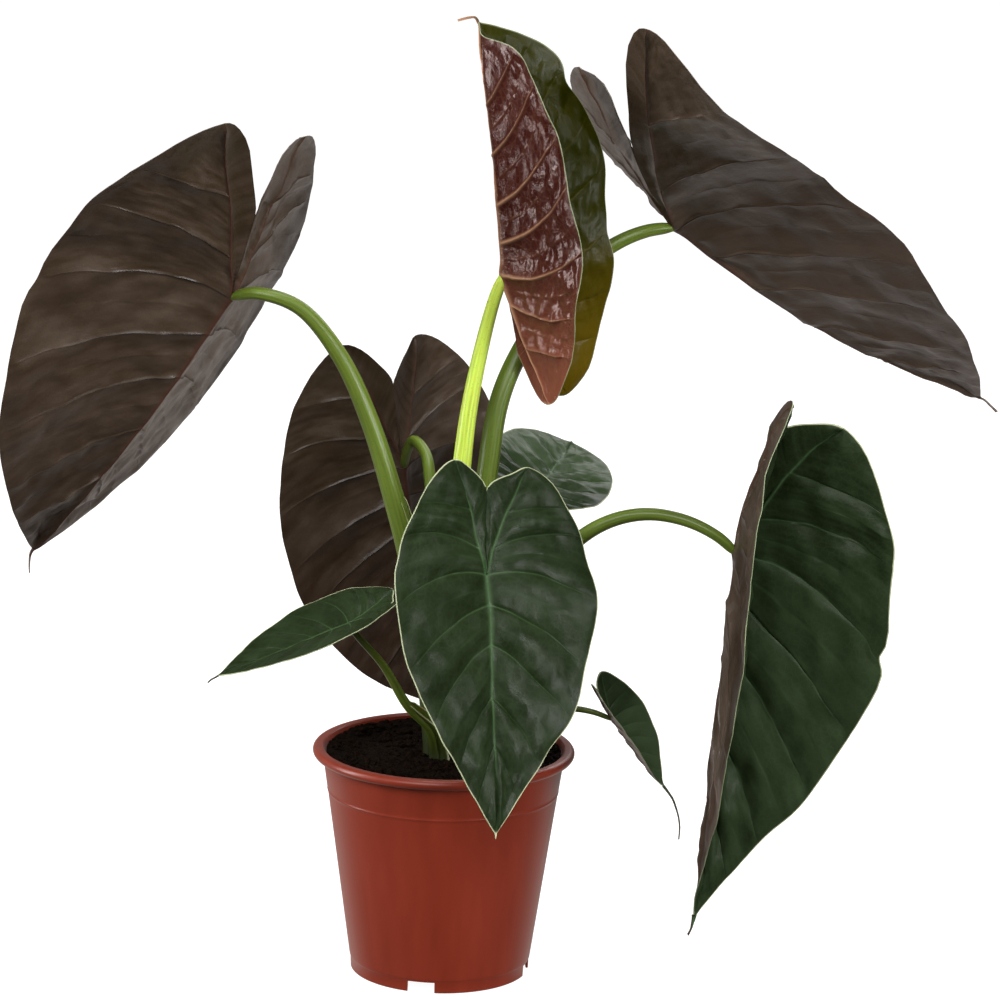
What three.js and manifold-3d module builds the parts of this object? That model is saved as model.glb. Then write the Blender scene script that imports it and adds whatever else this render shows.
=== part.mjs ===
// A potted alocasia: nine arrow-shaped leaves on round stalks, in potting soil, in a moulded nursery pot.
// Millimetres. +Z is up, the photographed side faces -Y, +X is to the right, and the centre of the
// pot's foot stands on the origin.
import * as THREE from "three";
import Module from "manifold-3d";

const wasm = await Module();
wasm.setup();

// ---- pot: a 19 cm nursery pot ----
const POT_HEIGHT = 167;
const RIM_RADIUS = 95;
const BEAD_RADIUS = 3.5;
const WALL_TOP_RADIUS = 88.4;
const WALL_FOOT_RADIUS = 66;
const FOOT_RADIUS = 65;
const POT_WALL = 1.8;
const SHOULDER_BELOW_RIM = 32;
const SHOULDER_STEP = 0.7;
const SKIRT_HEIGHT = 10;
const FLOOR_UNDERSIDE = 9;
const FLOOR_THICKNESS = 2.2;
const CENTRE_FOOT_RADIUS = 30;
const NOTCH_WIDTH = 20;
const NOTCH_HEIGHT = 8;
const NOTCH_ANGLES = [-101, -11, 79, 169];
const POT_SEGMENTS = 60;

// ---- soil ----
const SOIL_TOP = 161;
const SOIL_RELIEF = 1.3;
const SOIL_RINGS = 7;
const SOIL_SEGMENTS = 40;
const FIT_GAP = 0.3;
const STEM_HOLE_GAP = 0.4;
const STEM_BURIED = 26;
const STEM_UPRIGHT = 6;

// ---- blades ----
const BLADE_THICKNESS = 1.0;
const SMALL_BLADE_THICKNESS = 0.8;
const SMALL_BLADE_LENGTH = 120;
const FOLD_RADIUS = 5;
const MARGIN_WAVES = 2.2;
const MIDRIB_HEIGHT = 2.0;
const VEIN_HEIGHT = 1.1;
const RIB_HALF_WIDTH = 2.2;
const GROOVE_DEPTH = 0.25;
const PUFF_HEIGHT = 1.4;
const DRIP_TIP_HALF_WIDTH = 0.9;
const STALK_CLEARANCE = 0.3;
// The flat half blade, in blade lengths: x outwards from the midrib, y from the stalk to the apex.
const HALF_WIDTH_DRAWN = 0.46;
const LOBE_TIP = [0.19, -0.575];
const NARROW_FRONT = [[0.44, 0.27], [0.37, 0.46], [0.27, 0.64], [0.165, 0.77], [0.085, 0.88], [0.03, 0.96]];
const FULL_FRONT = [[0.455, 0.27], [0.42, 0.46], [0.355, 0.64], [0.275, 0.78], [0.175, 0.89], [0.07, 0.965]];
// The new leaf's left half, whose tip is blunt because its margin is rolled in.
const BLUNT_FRONT = [[0.455, 0.27], [0.42, 0.46], [0.355, 0.64], [0.295, 0.79], [0.215, 0.89], [0.03, 0.945]];
// Side veins: place along the midrib (below zero: along the lobe's vein), place along the margin,
// counted in outline points, and how far the vein bows back from a straight line.
const SIDE_VEINS = [
  { start: -0.6, margin: 4.9, bow: -0.02 },
  { start: -0.25, margin: 5.9, bow: -0.07 },
  { start: 0, margin: 7.2, bow: -0.1 },
  { start: 0.12, margin: 8.5, bow: -0.07 },
  { start: 0.27, margin: 9.6, bow: -0.08 },
  { start: 0.47, margin: 10.85, bow: -0.055 },
  { start: 0.67, margin: 12, bow: -0.03 },
];
const LOBE_MARGIN = 3;
const APEX_MARGIN = 14;
const SINUS_ON_LOBE_VEIN = -0.45;

// Angles in degrees, lengths in millimetres, lobes and sinus in blade lengths.
// heading 0 points the apex along +X, pitch raises it, roll turns the upper side to the right.
// bend and lobeBend curve the midrib towards the underside, fold raises each half [left, right]
// towards the upper side, and foldFront and foldLobes add to it at the apex and at the lobes' tips.
// fullness rounds each half towards the apex, and innerLobes widens each lobe on its inner side.
const BLADES = {
  blade_left: {
    at: [-159, 10, 492], heading: 149, pitch: -56, roll: 28, length: 287, width: 281,
    bend: -16, lobeBend: -6, twist: 0, fold: [11, 45], foldFront: [-24, -14], foldLobes: [-29, -3],
    sinus: 0.25, lobes: [0.86, 0.74], lobeWidth: 0.96, fullness: [0.38, 0.38], lobeShift: -0.25,
    innerLobes: [0, 1], wave: [0.01, 0.003], wavePlace: [0.06, 0.2], dripTip: [-3, 0, -18], dripHalf: 1.5,
  },
  blade_new: {
    at: [36, -10, 517], heading: 188, pitch: 84, roll: -25, length: 179, width: 166,
    bend: 3, lobeBend: -9, twist: -1, fold: [59, 55], foldFront: [1, -6], foldLobes: [-10, -15],
    sinus: 0.27, lobes: [0.94, 0.98], lobeWidth: 0.94, fullness: [1, 1.6], lobeShift: 0.2,
    leftFront: BLUNT_FRONT, wave: [0.008, 0.012], wavePlace: [0, 0.3], dripTip: [-14, 0, 1],
  },
  blade_right_high: {
    at: [159, 60, 542], heading: 28, pitch: -38, roll: -7, length: 312, width: 306,
    bend: -20, lobeBend: -46, twist: 1, fold: [22, 20], foldFront: [-7, -9], foldLobes: [-7, -23],
    sinus: 0.28, lobes: [0.81, 1.07], lobeWidth: 1.05, fullness: [0.41, 0.41], lobeShift: 0.43,
    innerLobes: [1, 0], wave: [0, 0.01], wavePlace: [0, -0.3], dripTip: [14, 3, -12], dripHalf: 1.7,
  },
  blade_rear: {
    at: [-36, 130, 345], heading: 79, pitch: -70, roll: -39, length: 204, width: 192,
    bend: 9, lobeBend: -6, twist: -3, fold: [13, 16], foldFront: [4, 0], foldLobes: [-3, 15],
    sinus: 0.36, lobes: [0.96, 0.83], lobeWidth: 0.9, fullness: [0.98, 0.98], lobeShift: -0.05,
    wave: [0.006, 0.006], wavePlace: [0, 0.2], dripTip: [0, 3, -9], dripHalf: 1.3,
  },
  blade_front: {
    at: [28, -100, 319], heading: -74, pitch: -71, roll: -18, length: 179, width: 165,
    bend: 6, lobeBend: -13, twist: 0, fold: [9, 7], foldFront: [4, 6], foldLobes: [-10, 8],
    sinus: 0.34, lobes: [0.74, 0.78], lobeWidth: 0.97, fullness: [0.13, 0.13], lobeShift: -0.06,
    wave: [0.018, 0.004], wavePlace: [0.02, 0.1], dripTip: [0, -1, -4],
  },
  blade_right_low: {
    at: [206, -40, 324], heading: -21, pitch: -96, roll: 28, length: 271, width: 236,
    bend: -3, lobeBend: -52, twist: 1, fold: [51, 53], foldFront: [-11, 0], foldLobes: [-4, -8],
    curl: [24, -2], sinus: 0.34, lobes: [0.79, 0.95], lobeWidth: 0.92, fullness: [0.04, 0.04], lobeShift: -0.01,
    wave: [-0.01, 0.008], wavePlace: [-0.08, 0.1], dripTip: [-5, 0, -14], dripHalf: 1.5, sweep: 0.5,
  },
  blade_rear_right: {
    at: [68, 62, 350], heading: 75, pitch: 11, roll: 24, length: 92, width: 94,
    bend: 8, lobeBend: 0, twist: 1, fold: [10, 12], foldFront: [0, 0], foldLobes: [1, 3],
    sinus: 0.25, lobes: [0.8, 0.7], lobeWidth: 1, fullness: [0.9, 0.9], lobeShift: -0.02,
    wave: [0.004, 0.004], wavePlace: [0, 0.2], dripTip: [2, 2, -3],
  },
  blade_small_left: {
    at: [-69, -60, 272], heading: 192, pitch: -22, roll: -2, length: 99, width: 91,
    bend: -2, lobeBend: -6, twist: 2, fold: [9, 14], foldFront: [-3, -1], foldLobes: [12, -4],
    sinus: 0.34, lobes: [0.69, 0.71], lobeWidth: 1, fullness: [0.22, 0.22], lobeShift: 0,
    wave: [0.004, 0.004], wavePlace: [0, 0.2], dripTip: [-7, -1, -5], dripHalf: 1.2,
  },
  blade_small_right: {
    at: [122, -20, 195], heading: 8, pitch: -58, roll: 28, length: 62, width: 57,
    bend: -11, lobeBend: -6, twist: 2, fold: [36, 36], foldFront: [-1, 0], foldLobes: [-2, -3],
    sinus: 0.34, lobes: [0.97, 0.99], lobeWidth: 1.02, fullness: [0.47, 0.47], lobeShift: 0.02,
    wave: [0.004, 0.004], wavePlace: [0, 0.2], dripTip: [13, 0, -40], dripHalf: 1.5,
  },
};

// ---- stalks ----
// foot: where the stalk enters the soil; radii at the soil and at the blade, and taper, above 1 where
// it thins late; path: points it passes.
const STALKS = {
  stalk_left: {
    blade: "blade_left", foot: [-6, 4], radii: [9.5, 4.3], taper: 1.5,
    path: [[-12, 1, 220], [-27, -2, 305], [-39, -2, 349], [-58, 0, 407], [-80, 1, 453], [-109, 0, 487], [-138, -2, 497]],
  },
  stalk_new: {
    blade: "blade_new", foot: [14, 0], radii: [8.5, 4.1], taper: 1.7,
    path: [[5, -8, 308], [9, -9, 381], [14, -8, 425], [22, -7, 468], [29, -8, 497]],
  },
  stalk_right_high: {
    blade: "blade_right_high", foot: [25, 15], radii: [8.8, 4.4], taper: 1.9,
    path: [[20, 14, 275], [27, 18, 370], [35, 24, 421], [52, 34, 460], [80, 44, 501], [112, 50, 528], [136, 53, 539]],
  },
  stalk_rear: {
    blade: "blade_rear", foot: [6, 18.5], radii: [8, 3.4],
    path: [[-5, 34, 267], [-15, 62, 350], [-19, 80, 366], [-28, 97, 372], [-33, 110, 362]],
  },
  stalk_front: {
    blade: "blade_front", foot: [21.5, -17.5], radii: [8.5, 3.6],
    path: [[20, -28, 250], [20, -42, 305], [19, -58, 327], [20, -76, 331]],
  },
  stalk_right_low: {
    blade: "blade_right_low", foot: [33, -3], radii: [8.5, 3.8],
    path: [[44, -10, 230], [62, -18, 285], [86, -24, 322], [112, -28, 342], [140, -32, 350], [168, -36, 347], [191, -40, 337]],
  },
  stalk_rear_right: {
    blade: "blade_rear_right", foot: [42, 14], radii: [6.5, 3],
    path: [[43, 24, 230], [51, 44, 300], [62, 56, 333]],
  },
  stalk_small_left: {
    blade: "blade_small_left", foot: [-6, -14], radii: [4.5, 2.3],
    path: [[-10, -24, 186], [-26, -36, 206], [-44, -48, 239], [-62, -57, 262]],
  },
  stalk_small_right: {
    blade: "blade_small_right", foot: [38, -18], radii: [4, 1.8],
    path: [[43, -17, 175], [64, -15, 192], [88, -16, 201], [106, -18, 200]],
  },
};
const STALK_SIDES = 12;
const STALK_STEP = 26;
const STALK_TAPER = 0.8;
const SHEATH_END = 0.45;
const SHEATH_CHANNEL = 0.2;

const RADIAN = Math.PI / 180;

function vector(values) {
  return new THREE.Vector3(...values);
}

function smoothNoise(x, y) {
  const coarse = Math.sin(x * 0.13 + 1.7) * Math.cos(y * 0.11 - 0.6);
  const middle = Math.sin(x * 0.29 - y * 0.23 + 2.1);
  const fine = Math.cos(x * 0.51 + y * 0.47);
  return 0.5 * coarse + 0.3 * middle + 0.2 * fine;
}

// A point on the smooth curve through the points, at a place counted in points.
function curveAt(points, place) {
  const last = points.length - 1;
  const index = Math.min(Math.max(Math.floor(place), 0), last - 1);
  const t = place - index;
  const b = points[index];
  const c = points[index + 1];
  const a = index > 0 ? points[index - 1] : b.map((v, i) => 2 * v - c[i]);
  const d = index + 2 <= last ? points[index + 2] : c.map((v, i) => 2 * v - b[i]);
  return b.map((v, i) => {
    const square = 2 * a[i] - 5 * v + 4 * c[i] - d[i];
    const cube = 3 * v - a[i] - 3 * c[i] + d[i];
    return 0.5 * (2 * v + (c[i] - a[i]) * t + square * t * t + cube * t ** 3);
  });
}

function interpolate(knots, x) {
  let index = 0;
  while (index < knots.length - 2 && x > knots[index + 1][0]) index += 1;
  const [x0, y0] = knots[index];
  const [x1, y1] = knots[index + 1];
  return y0 + ((y1 - y0) * (x - x0)) / (x1 - x0);
}

// The blade as a flat drawing: outline, lobe veins and side veins of one half.
function bladeDrawing(blade, side) {
  const lobe = side > 0 ? blade.lobes[1] : blade.lobes[0];
  const wide = blade.lobeWidth;
  const sweep = blade.sweep || 0;
  const fullness = blade.fullness[side > 0 ? 1 : 0];
  const inner = blade.innerLobes ? blade.innerLobes[side > 0 ? 1 : 0] : 0;
  const between = NARROW_FRONT.map((p, i) => p.map((v, k) => v + (FULL_FRONT[i][k] - v) * fullness));
  const front = side < 0 && blade.leftFront ? blade.leftFront : between;
  const outline = [
    [0, -blade.sinus],
    [(0.035 - 0.03 * inner) * wide, -blade.sinus - 0.35 * (-LOBE_TIP[1] * lobe - blade.sinus)],
    [(0.105 - 0.06 * inner) * wide, (-0.535 - 0.035 * inner) * lobe],
    [LOBE_TIP[0] * wide, LOBE_TIP[1] * lobe],
    [0.29 * (1 + wide) / 2, -0.5 * lobe],
    [0.375, -0.335 * lobe],
    [0.435, -0.13],
    [0.46, 0.08],
    ...front,
    [(blade.dripHalf || DRIP_TIP_HALF_WIDTH) / blade.length, 1],
  ];
  const lobeTip = outline[LOBE_MARGIN];
  const marginKnots = [[-1, LOBE_MARGIN], ...SIDE_VEINS.map((v) => [v.start, v.margin + sweep * (1 - Math.abs(v.start))]), [1, APEX_MARGIN]];
  const bowKnots = [[-1, 0], ...SIDE_VEINS.map((v) => [v.start, v.bow]), [1, 0]];
  const spine = (t) => {
    if (t >= 0) return [0, t];
    const s = -t;
    return [2 * s * (1 - s) * 0.05 + s * s * lobeTip[0], 2 * s * (1 - s) * -0.25 * lobe + s * s * lobeTip[1]];
  };
  const ray = (t, w) => {
    const from = spine(t);
    const to = curveAt(outline, interpolate(marginKnots, t));
    const bow = interpolate(bowKnots, t) * 4 * w * (1 - w);
    return [from[0] + (to[0] - from[0]) * w, from[1] + (to[1] - from[1]) * w + bow * 0.5];
  };
  const web = (t, w) => {
    const from = spine(t);
    const reach = (t - SINUS_ON_LOBE_VEIN) / (-1 - SINUS_ON_LOBE_VEIN);
    const to = t > SINUS_ON_LOBE_VEIN ? [0, (-blade.sinus * t) / SINUS_ON_LOBE_VEIN] : curveAt(outline, reach * LOBE_MARGIN);
    return [from[0] + (to[0] - from[0]) * w, from[1] + (to[1] - from[1]) * w];
  };
  return { ray, web };
}

// Place, in space, of a point of the flat blade, and the direction its upper side faces.
function bladeSurface(blade) {
  const heading = blade.heading * RADIAN;
  const pitch = blade.pitch * RADIAN;
  const roll = blade.roll * RADIAN;
  const along = vector([Math.cos(heading) * Math.cos(pitch), Math.sin(heading) * Math.cos(pitch), Math.sin(pitch)]);
  const level = vector([-Math.cos(heading) * Math.sin(pitch), -Math.sin(heading) * Math.sin(pitch), Math.cos(pitch)]);
  const tilted = new THREE.Vector3().crossVectors(along, level);
  const upper = level.multiplyScalar(Math.cos(roll)).addScaledVector(tilted, Math.sin(roll));
  const across = new THREE.Vector3().crossVectors(along, upper);
  const half = blade.width / 2;
  const curl = blade.curl || [0, 0];

  const bent = (x, y) => {
    const s = y / blade.length;
    const right = x > 0 ? 1 : 0;
    const turn = ((s > 0 ? blade.bend : blade.lobeBend) * RADIAN) / blade.length;
    const angle = turn * y;
    const run = Math.abs(turn) < 1e-9 ? y : Math.sin(angle) / turn;
    const drop = Math.abs(turn) < 1e-9 ? 0 : (1 - Math.cos(angle)) / turn;
    const fold = (blade.fold[right] + blade.foldFront[right] * Math.max(s, 0)
      + (blade.foldLobes[right] * Math.max(-s, 0)) / -LOBE_TIP[1]) * RADIAN;
    const width = Math.abs(x);
    const rounded = Math.min(width, FOLD_RADIUS);
    const straight = width - rounded;
    const bow = (curl[right] * RADIAN * straight) / half / 2;
    const turned = (fold * rounded) / FOLD_RADIUS;
    let sideways = rounded * Math.cos(turned / 2) + straight * Math.cos(fold + bow);
    let raised = rounded * Math.sin(turned / 2) + straight * Math.sin(fold + bow);
    const wave = blade.wave[right] * blade.length * (width / half) ** 2;
    raised += wave * Math.sin(MARGIN_WAVES * 2 * Math.PI * (s - blade.wavePlace[right]));
    sideways = sideways * (right ? 1 : -1) + blade.lobeShift * blade.length * Math.max(-s, 0);
    const twist = blade.twist * RADIAN * s;
    const turnedSideways = sideways * Math.cos(twist) - raised * Math.sin(twist);
    const turnedRaised = sideways * Math.sin(twist) + raised * Math.cos(twist);
    const place = vector(blade.at).addScaledVector(along, run + turnedRaised * Math.sin(angle));
    place.addScaledVector(upper, turnedRaised * Math.cos(angle) - drop);
    return place.addScaledVector(across, turnedSideways);
  };

  const apex = bent(0, blade.length);
  const apexAlong = apex.clone().sub(bent(0, blade.length - 1)).normalize();
  const tip = vector(blade.dripTip);
  const drip = (x, y) => {
    const t = (y - blade.length) / tip.length();
    const middle = apexAlong.clone().multiplyScalar(tip.length() * 0.5);
    const place = apex.clone().addScaledVector(middle, 2 * t * (1 - t)).addScaledVector(tip, t * t);
    return place.addScaledVector(across, x);
  };

  const place = (x, y) => (y > blade.length ? drip(x, y) : bent(x, y));
  const facing = (x, y) => {
    const step = 0.4;
    const acrossStep = place(x + step, y).sub(place(x - step, y));
    const alongStep = place(x, y + step).sub(place(x, y - step));
    return acrossStep.cross(alongStep).normalize();
  };
  return { place, facing };
}

// A small blade is thinner, and its veins are half as high.
function bladeBuild(blade) {
  const small = blade.length < SMALL_BLADE_LENGTH;
  return { small, thickness: small ? SMALL_BLADE_THICKNESS : BLADE_THICKNESS, size: small ? 0.5 : 1 };
}

// The blade's solid: one flat mesh, carried to both faces, with the veins raised below.
function bladeGeometry(blade) {
  const { small, thickness, size } = bladeBuild(blade);
  const xScale = blade.width / (2 * HALF_WIDTH_DRAWN);
  const surface = bladeSurface(blade);
  const columns = [0.35, 0.68, 1];
  const ribStep = (RIB_HALF_WIDTH * size) / blade.length;
  const points = [];
  const faces = [];
  const known = new Map();

  const add = (flat, side, rib, puff) => {
    const x = flat[0] * xScale * side;
    const y = flat[1] * blade.length;
    const key = Math.round(x * 1000) + "," + Math.round(y * 1000);
    if (!known.has(key)) {
      known.set(key, points.length);
      points.push({ x, y, rib: rib * size, puff: puff * size });
    }
    return known.get(key);
  };
  const triangle = (a, b, c, side) => {
    if (a === b || b === c || a === c) return;
    faces.push(side > 0 ? [a, b, c] : [a, c, b]);
  };
  const strip = (rows, side) => {
    for (let r = 0; r + 1 < rows.length; r += 1) {
      for (let c = 0; c + 1 < rows[r].length; c += 1) {
        triangle(rows[r][c], rows[r][c + 1], rows[r + 1][c + 1], side);
        triangle(rows[r][c], rows[r + 1][c + 1], rows[r + 1][c], side);
      }
    }
  };
  const spineRib = (t) => MIDRIB_HEIGHT * (t < 0 ? 0.9 * (1 + t) + 0.1 : 1 - 0.65 * t);

  for (const side of [-1, 1]) {
    const drawing = bladeDrawing(blade, side);
    const starts = [];
    const veinRows = new Set();
    SIDE_VEINS.forEach((vein, i) => {
      const next = i + 1 < SIDE_VEINS.length ? SIDE_VEINS[i + 1].start : 0.9;
      if (!small) starts.push(vein.start - ribStep);
      veinRows.add(starts.length);
      starts.push(vein.start);
      if (!small) starts.push(vein.start + ribStep);
      starts.push((vein.start + next) / 2);
    });
    const rows = [[add(drawing.ray(-1, 0), side, 0.2, 0)]];
    rows[0] = new Array(columns.length + 2).fill(rows[0][0]);
    [-0.85, ...starts, 0.9, 0.97].forEach((t, i) => {
      const onVein = veinRows.has(i - 1);
      const between = !onVein && (small || [t - ribStep, t + ribStep].every((s) => !SIDE_VEINS.some((v) => Math.abs(v.start - s) < 1e-6)));
      const end = drawing.ray(t, 1);
      const start = drawing.ray(t, 0);
      const reach = Math.hypot((end[0] - start[0]) * xScale, (end[1] - start[1]) * blade.length);
      const first = Math.min(0.18, (RIB_HALF_WIDTH * size) / reach);
      rows.push([0, first, ...columns].map((w, c) => {
        const vein = onVein ? VEIN_HEIGHT * (1 - w) ** 0.7 : 0;
        const rib = c === 0 ? spineRib(t) : vein;
        return add(drawing.ray(t, w), side, rib, between && c > 0 ? PUFF_HEIGHT * Math.sin(Math.PI * w) : 0);
      }));
    });
    strip(rows, side);

    // The apex: the last row closes on the narrow drip tip.
    const last = rows[rows.length - 1];
    const tipReach = 1 + vector(blade.dripTip).length() / blade.length;
    let inner = add([0, 1], side, spineRib(1), 0);
    const dripHalf = (blade.dripHalf || DRIP_TIP_HALF_WIDTH) / xScale;
    let outer = add([dripHalf, 1], side, 0, 0);
    for (let c = 0; c + 1 < last.length; c += 1) triangle(last[c], last[c + 1], inner, side);
    triangle(last[last.length - 1], outer, inner, side);
    for (const t of [0.25, 0.5, 0.75, 1]) {
      const y = 1 + (tipReach - 1) * t;
      const nextInner = add([0, y], side, 0.3 * (1 - t), 0);
      const nextOuter = add([dripHalf * (1 - 0.5 * t), y], side, 0, 0);
      triangle(inner, outer, nextOuter, side);
      triangle(inner, nextOuter, nextInner, side);
      inner = nextInner;
      outer = nextOuter;
    }

    // The web between the lobe's vein, the midrib line and the sinus.
    const webRows = [];
    for (const t of [-1, -0.85, -0.6, SINUS_ON_LOBE_VEIN, -0.25, 0]) {
      webRows.push([1, 0.5, 0].map((w) => {
        const atSpine = w === 0;
        return add(drawing.web(t, w), side, atSpine ? spineRib(t) : 0, 0);
      }));
    }
    // Rows of the main part that touch the lobe's vein between the web's rows join it here.
    const spineOf = (t) => add(drawing.ray(t, 0), side, spineRib(t), 0);
    const webTimes = [-1, -0.85, -0.6, SINUS_ON_LOBE_VEIN, -0.25, 0];
    for (let r = 0; r + 1 < webRows.length; r += 1) {
      const a = webRows[r];
      const b = webRows[r + 1];
      triangle(a[0], a[1], b[1], side);
      triangle(a[0], b[1], b[0], side);
      const between = [-0.85, ...starts].filter((t) => t > webTimes[r] + 1e-9 && t < webTimes[r + 1] - 1e-9);
      const chain = [a[2], ...between.map(spineOf), b[2]];
      const split = Math.floor((chain.length - 1) / 2);
      chain.slice(0, -1).forEach((from, i) => {
        triangle(i < split ? a[1] : b[1], from, chain[i + 1], side);
      });
      triangle(a[1], chain[split], b[1], side);
    }
  }

  const positions = [];
  const corners = points.map((p) => {
    const facing = surface.facing(p.x, p.y);
    const middle = surface.place(p.x, p.y).addScaledVector(facing, p.puff);
    const top = middle.clone().addScaledVector(facing, thickness / 2 - (p.rib > 0 ? GROOVE_DEPTH * size : 0));
    const under = middle.clone().addScaledVector(facing, -thickness / 2 - p.rib);
    return { top, under };
  });
  const push = (...list) => list.forEach((v) => positions.push(v.x, v.y, v.z));
  const directed = new Set();
  faces.forEach(([a, b, c]) => {
    push(corners[a].top, corners[b].top, corners[c].top);
    push(corners[a].under, corners[c].under, corners[b].under);
    [[a, b], [b, c], [c, a]].forEach(([from, to]) => directed.add(from + "," + to));
  });
  faces.forEach(([a, b, c]) => {
    [[a, b], [b, c], [c, a]].forEach(([from, to]) => {
      if (directed.has(to + "," + from)) return;
      push(corners[from].top, corners[from].under, corners[to].under);
      push(corners[from].top, corners[to].under, corners[to].top);
    });
  });
  return new THREE.BufferGeometry().setAttribute("position", new THREE.Float32BufferAttribute(positions, 3));
}

// A stalk: a tapering stem with a shallow channel along its sheathing foot, cut to lie on its blade.
function stalkGeometry(stalk) {
  const blade = BLADES[stalk.blade];
  const facing = bladeSurface(blade).facing(0, 0.5);
  const { thickness, size } = bladeBuild(blade);
  const below = MIDRIB_HEIGHT * size + thickness / 2 + STALK_CLEARANCE;
  const end = vector(blade.at).addScaledVector(facing, -below);
  const [x, y] = stalk.foot;
  const buried = [[x, y, SOIL_TOP - STEM_BURIED], [x, y, SOIL_TOP - 5], [x, y, SOIL_TOP + STEM_UPRIGHT]];
  const path = new THREE.CatmullRomCurve3([...buried, ...stalk.path, end.toArray()].map(vector), false, "centripetal");
  const length = path.getLength();
  const endAlong = path.getTangent(1);
  const slope = Math.abs(endAlong.dot(facing));
  const cutReach = (stalk.radii[1] * Math.sqrt(1 - slope * slope)) / slope + 2;
  const straight = STEM_BURIED + STEM_UPRIGHT - 2;
  const count = Math.round((length - straight - cutReach) / STALK_STEP);
  const places = [0];
  for (let i = 0; i <= count; i += 1) places.push((straight + ((length - straight - cutReach) * i) / count) / length);
  places.push(1);
  let sideways = new THREE.Vector3(1, 0, 0);
  const rings = places.map((u) => {
    const along = path.getTangentAt(u);
    sideways = sideways.clone().addScaledVector(along, -sideways.dot(along)).normalize();
    const forward = new THREE.Vector3().crossVectors(along, sideways);
    const centre = path.getPointAt(u);
    const above = Math.max(0, (u * length - straight) / (length - straight));
    const radius = stalk.radii[0] + (stalk.radii[1] - stalk.radii[0]) * above ** (stalk.taper || STALK_TAPER);
    const channel = above > 0 ? SHEATH_CHANNEL * Math.max(0, 1 - above / SHEATH_END) * Math.min(1, above * 20) : 0;
    return Array.from({ length: STALK_SIDES }, (_, i) => {
      const angle = (i / STALK_SIDES) * 2 * Math.PI;
      const reach = radius * (1 - channel * Math.max(0, Math.cos(angle)) ** 3);
      const point = centre.clone().addScaledVector(sideways, reach * Math.cos(angle));
      point.addScaledVector(forward, reach * Math.sin(angle));
      if (u === 1) point.addScaledVector(along, point.clone().sub(end).dot(facing) / -along.dot(facing));
      return point;
    });
  });
  const positions = [];
  const push = (...list) => list.forEach((v) => positions.push(v.x, v.y, v.z));
  for (let r = 0; r + 1 < rings.length; r += 1) {
    for (let i = 0; i < STALK_SIDES; i += 1) {
      const j = (i + 1) % STALK_SIDES;
      push(rings[r][i], rings[r][j], rings[r + 1][j]);
      push(rings[r][i], rings[r + 1][j], rings[r + 1][i]);
    }
  }
  const first = rings[0];
  const last = rings[rings.length - 1];
  for (let i = 1; i + 1 < STALK_SIDES; i += 1) {
    push(first[0], first[i + 1], first[i]);
    push(last[0], last[i], last[i + 1]);
  }
  return new THREE.BufferGeometry().setAttribute("position", new THREE.Float32BufferAttribute(positions, 3));
}

// ---- joining and cutting ----
function solidFrom(geometry) {
  const source = geometry.index ? geometry.toNonIndexed() : geometry;
  const position = source.getAttribute("position");
  const corners = [];
  const known = new Map();
  const indices = [];
  for (let i = 0; i < position.count; i += 1) {
    const point = [position.getX(i), position.getY(i), position.getZ(i)];
    const key = point.map((v) => Math.round(v * 1000)).join(",");
    if (!known.has(key)) {
      known.set(key, corners.length / 3);
      corners.push(...point);
    }
    indices.push(known.get(key));
  }
  const kept = [];
  for (let i = 0; i < indices.length; i += 3) {
    const [a, b, c] = indices.slice(i, i + 3);
    if (a !== b && b !== c && a !== c) kept.push(a, b, c);
  }
  const triVerts = new Uint32Array(kept);
  return new wasm.Manifold(new wasm.Mesh({ numProp: 3, vertProperties: new Float32Array(corners), triVerts }));
}

function geometryFrom(solid) {
  const mesh = solid.getMesh();
  const geometry = new THREE.BufferGeometry();
  geometry.setAttribute("position", new THREE.BufferAttribute(new Float32Array(mesh.vertProperties), 3));
  geometry.setIndex(new THREE.BufferAttribute(new Uint32Array(mesh.triVerts), 1));
  return geometry;
}

function wallRadius(z) {
  const t = (z - SKIRT_HEIGHT) / (POT_HEIGHT - SKIRT_HEIGHT);
  return WALL_FOOT_RADIUS + (WALL_TOP_RADIUS - WALL_FOOT_RADIUS) * t;
}

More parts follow.
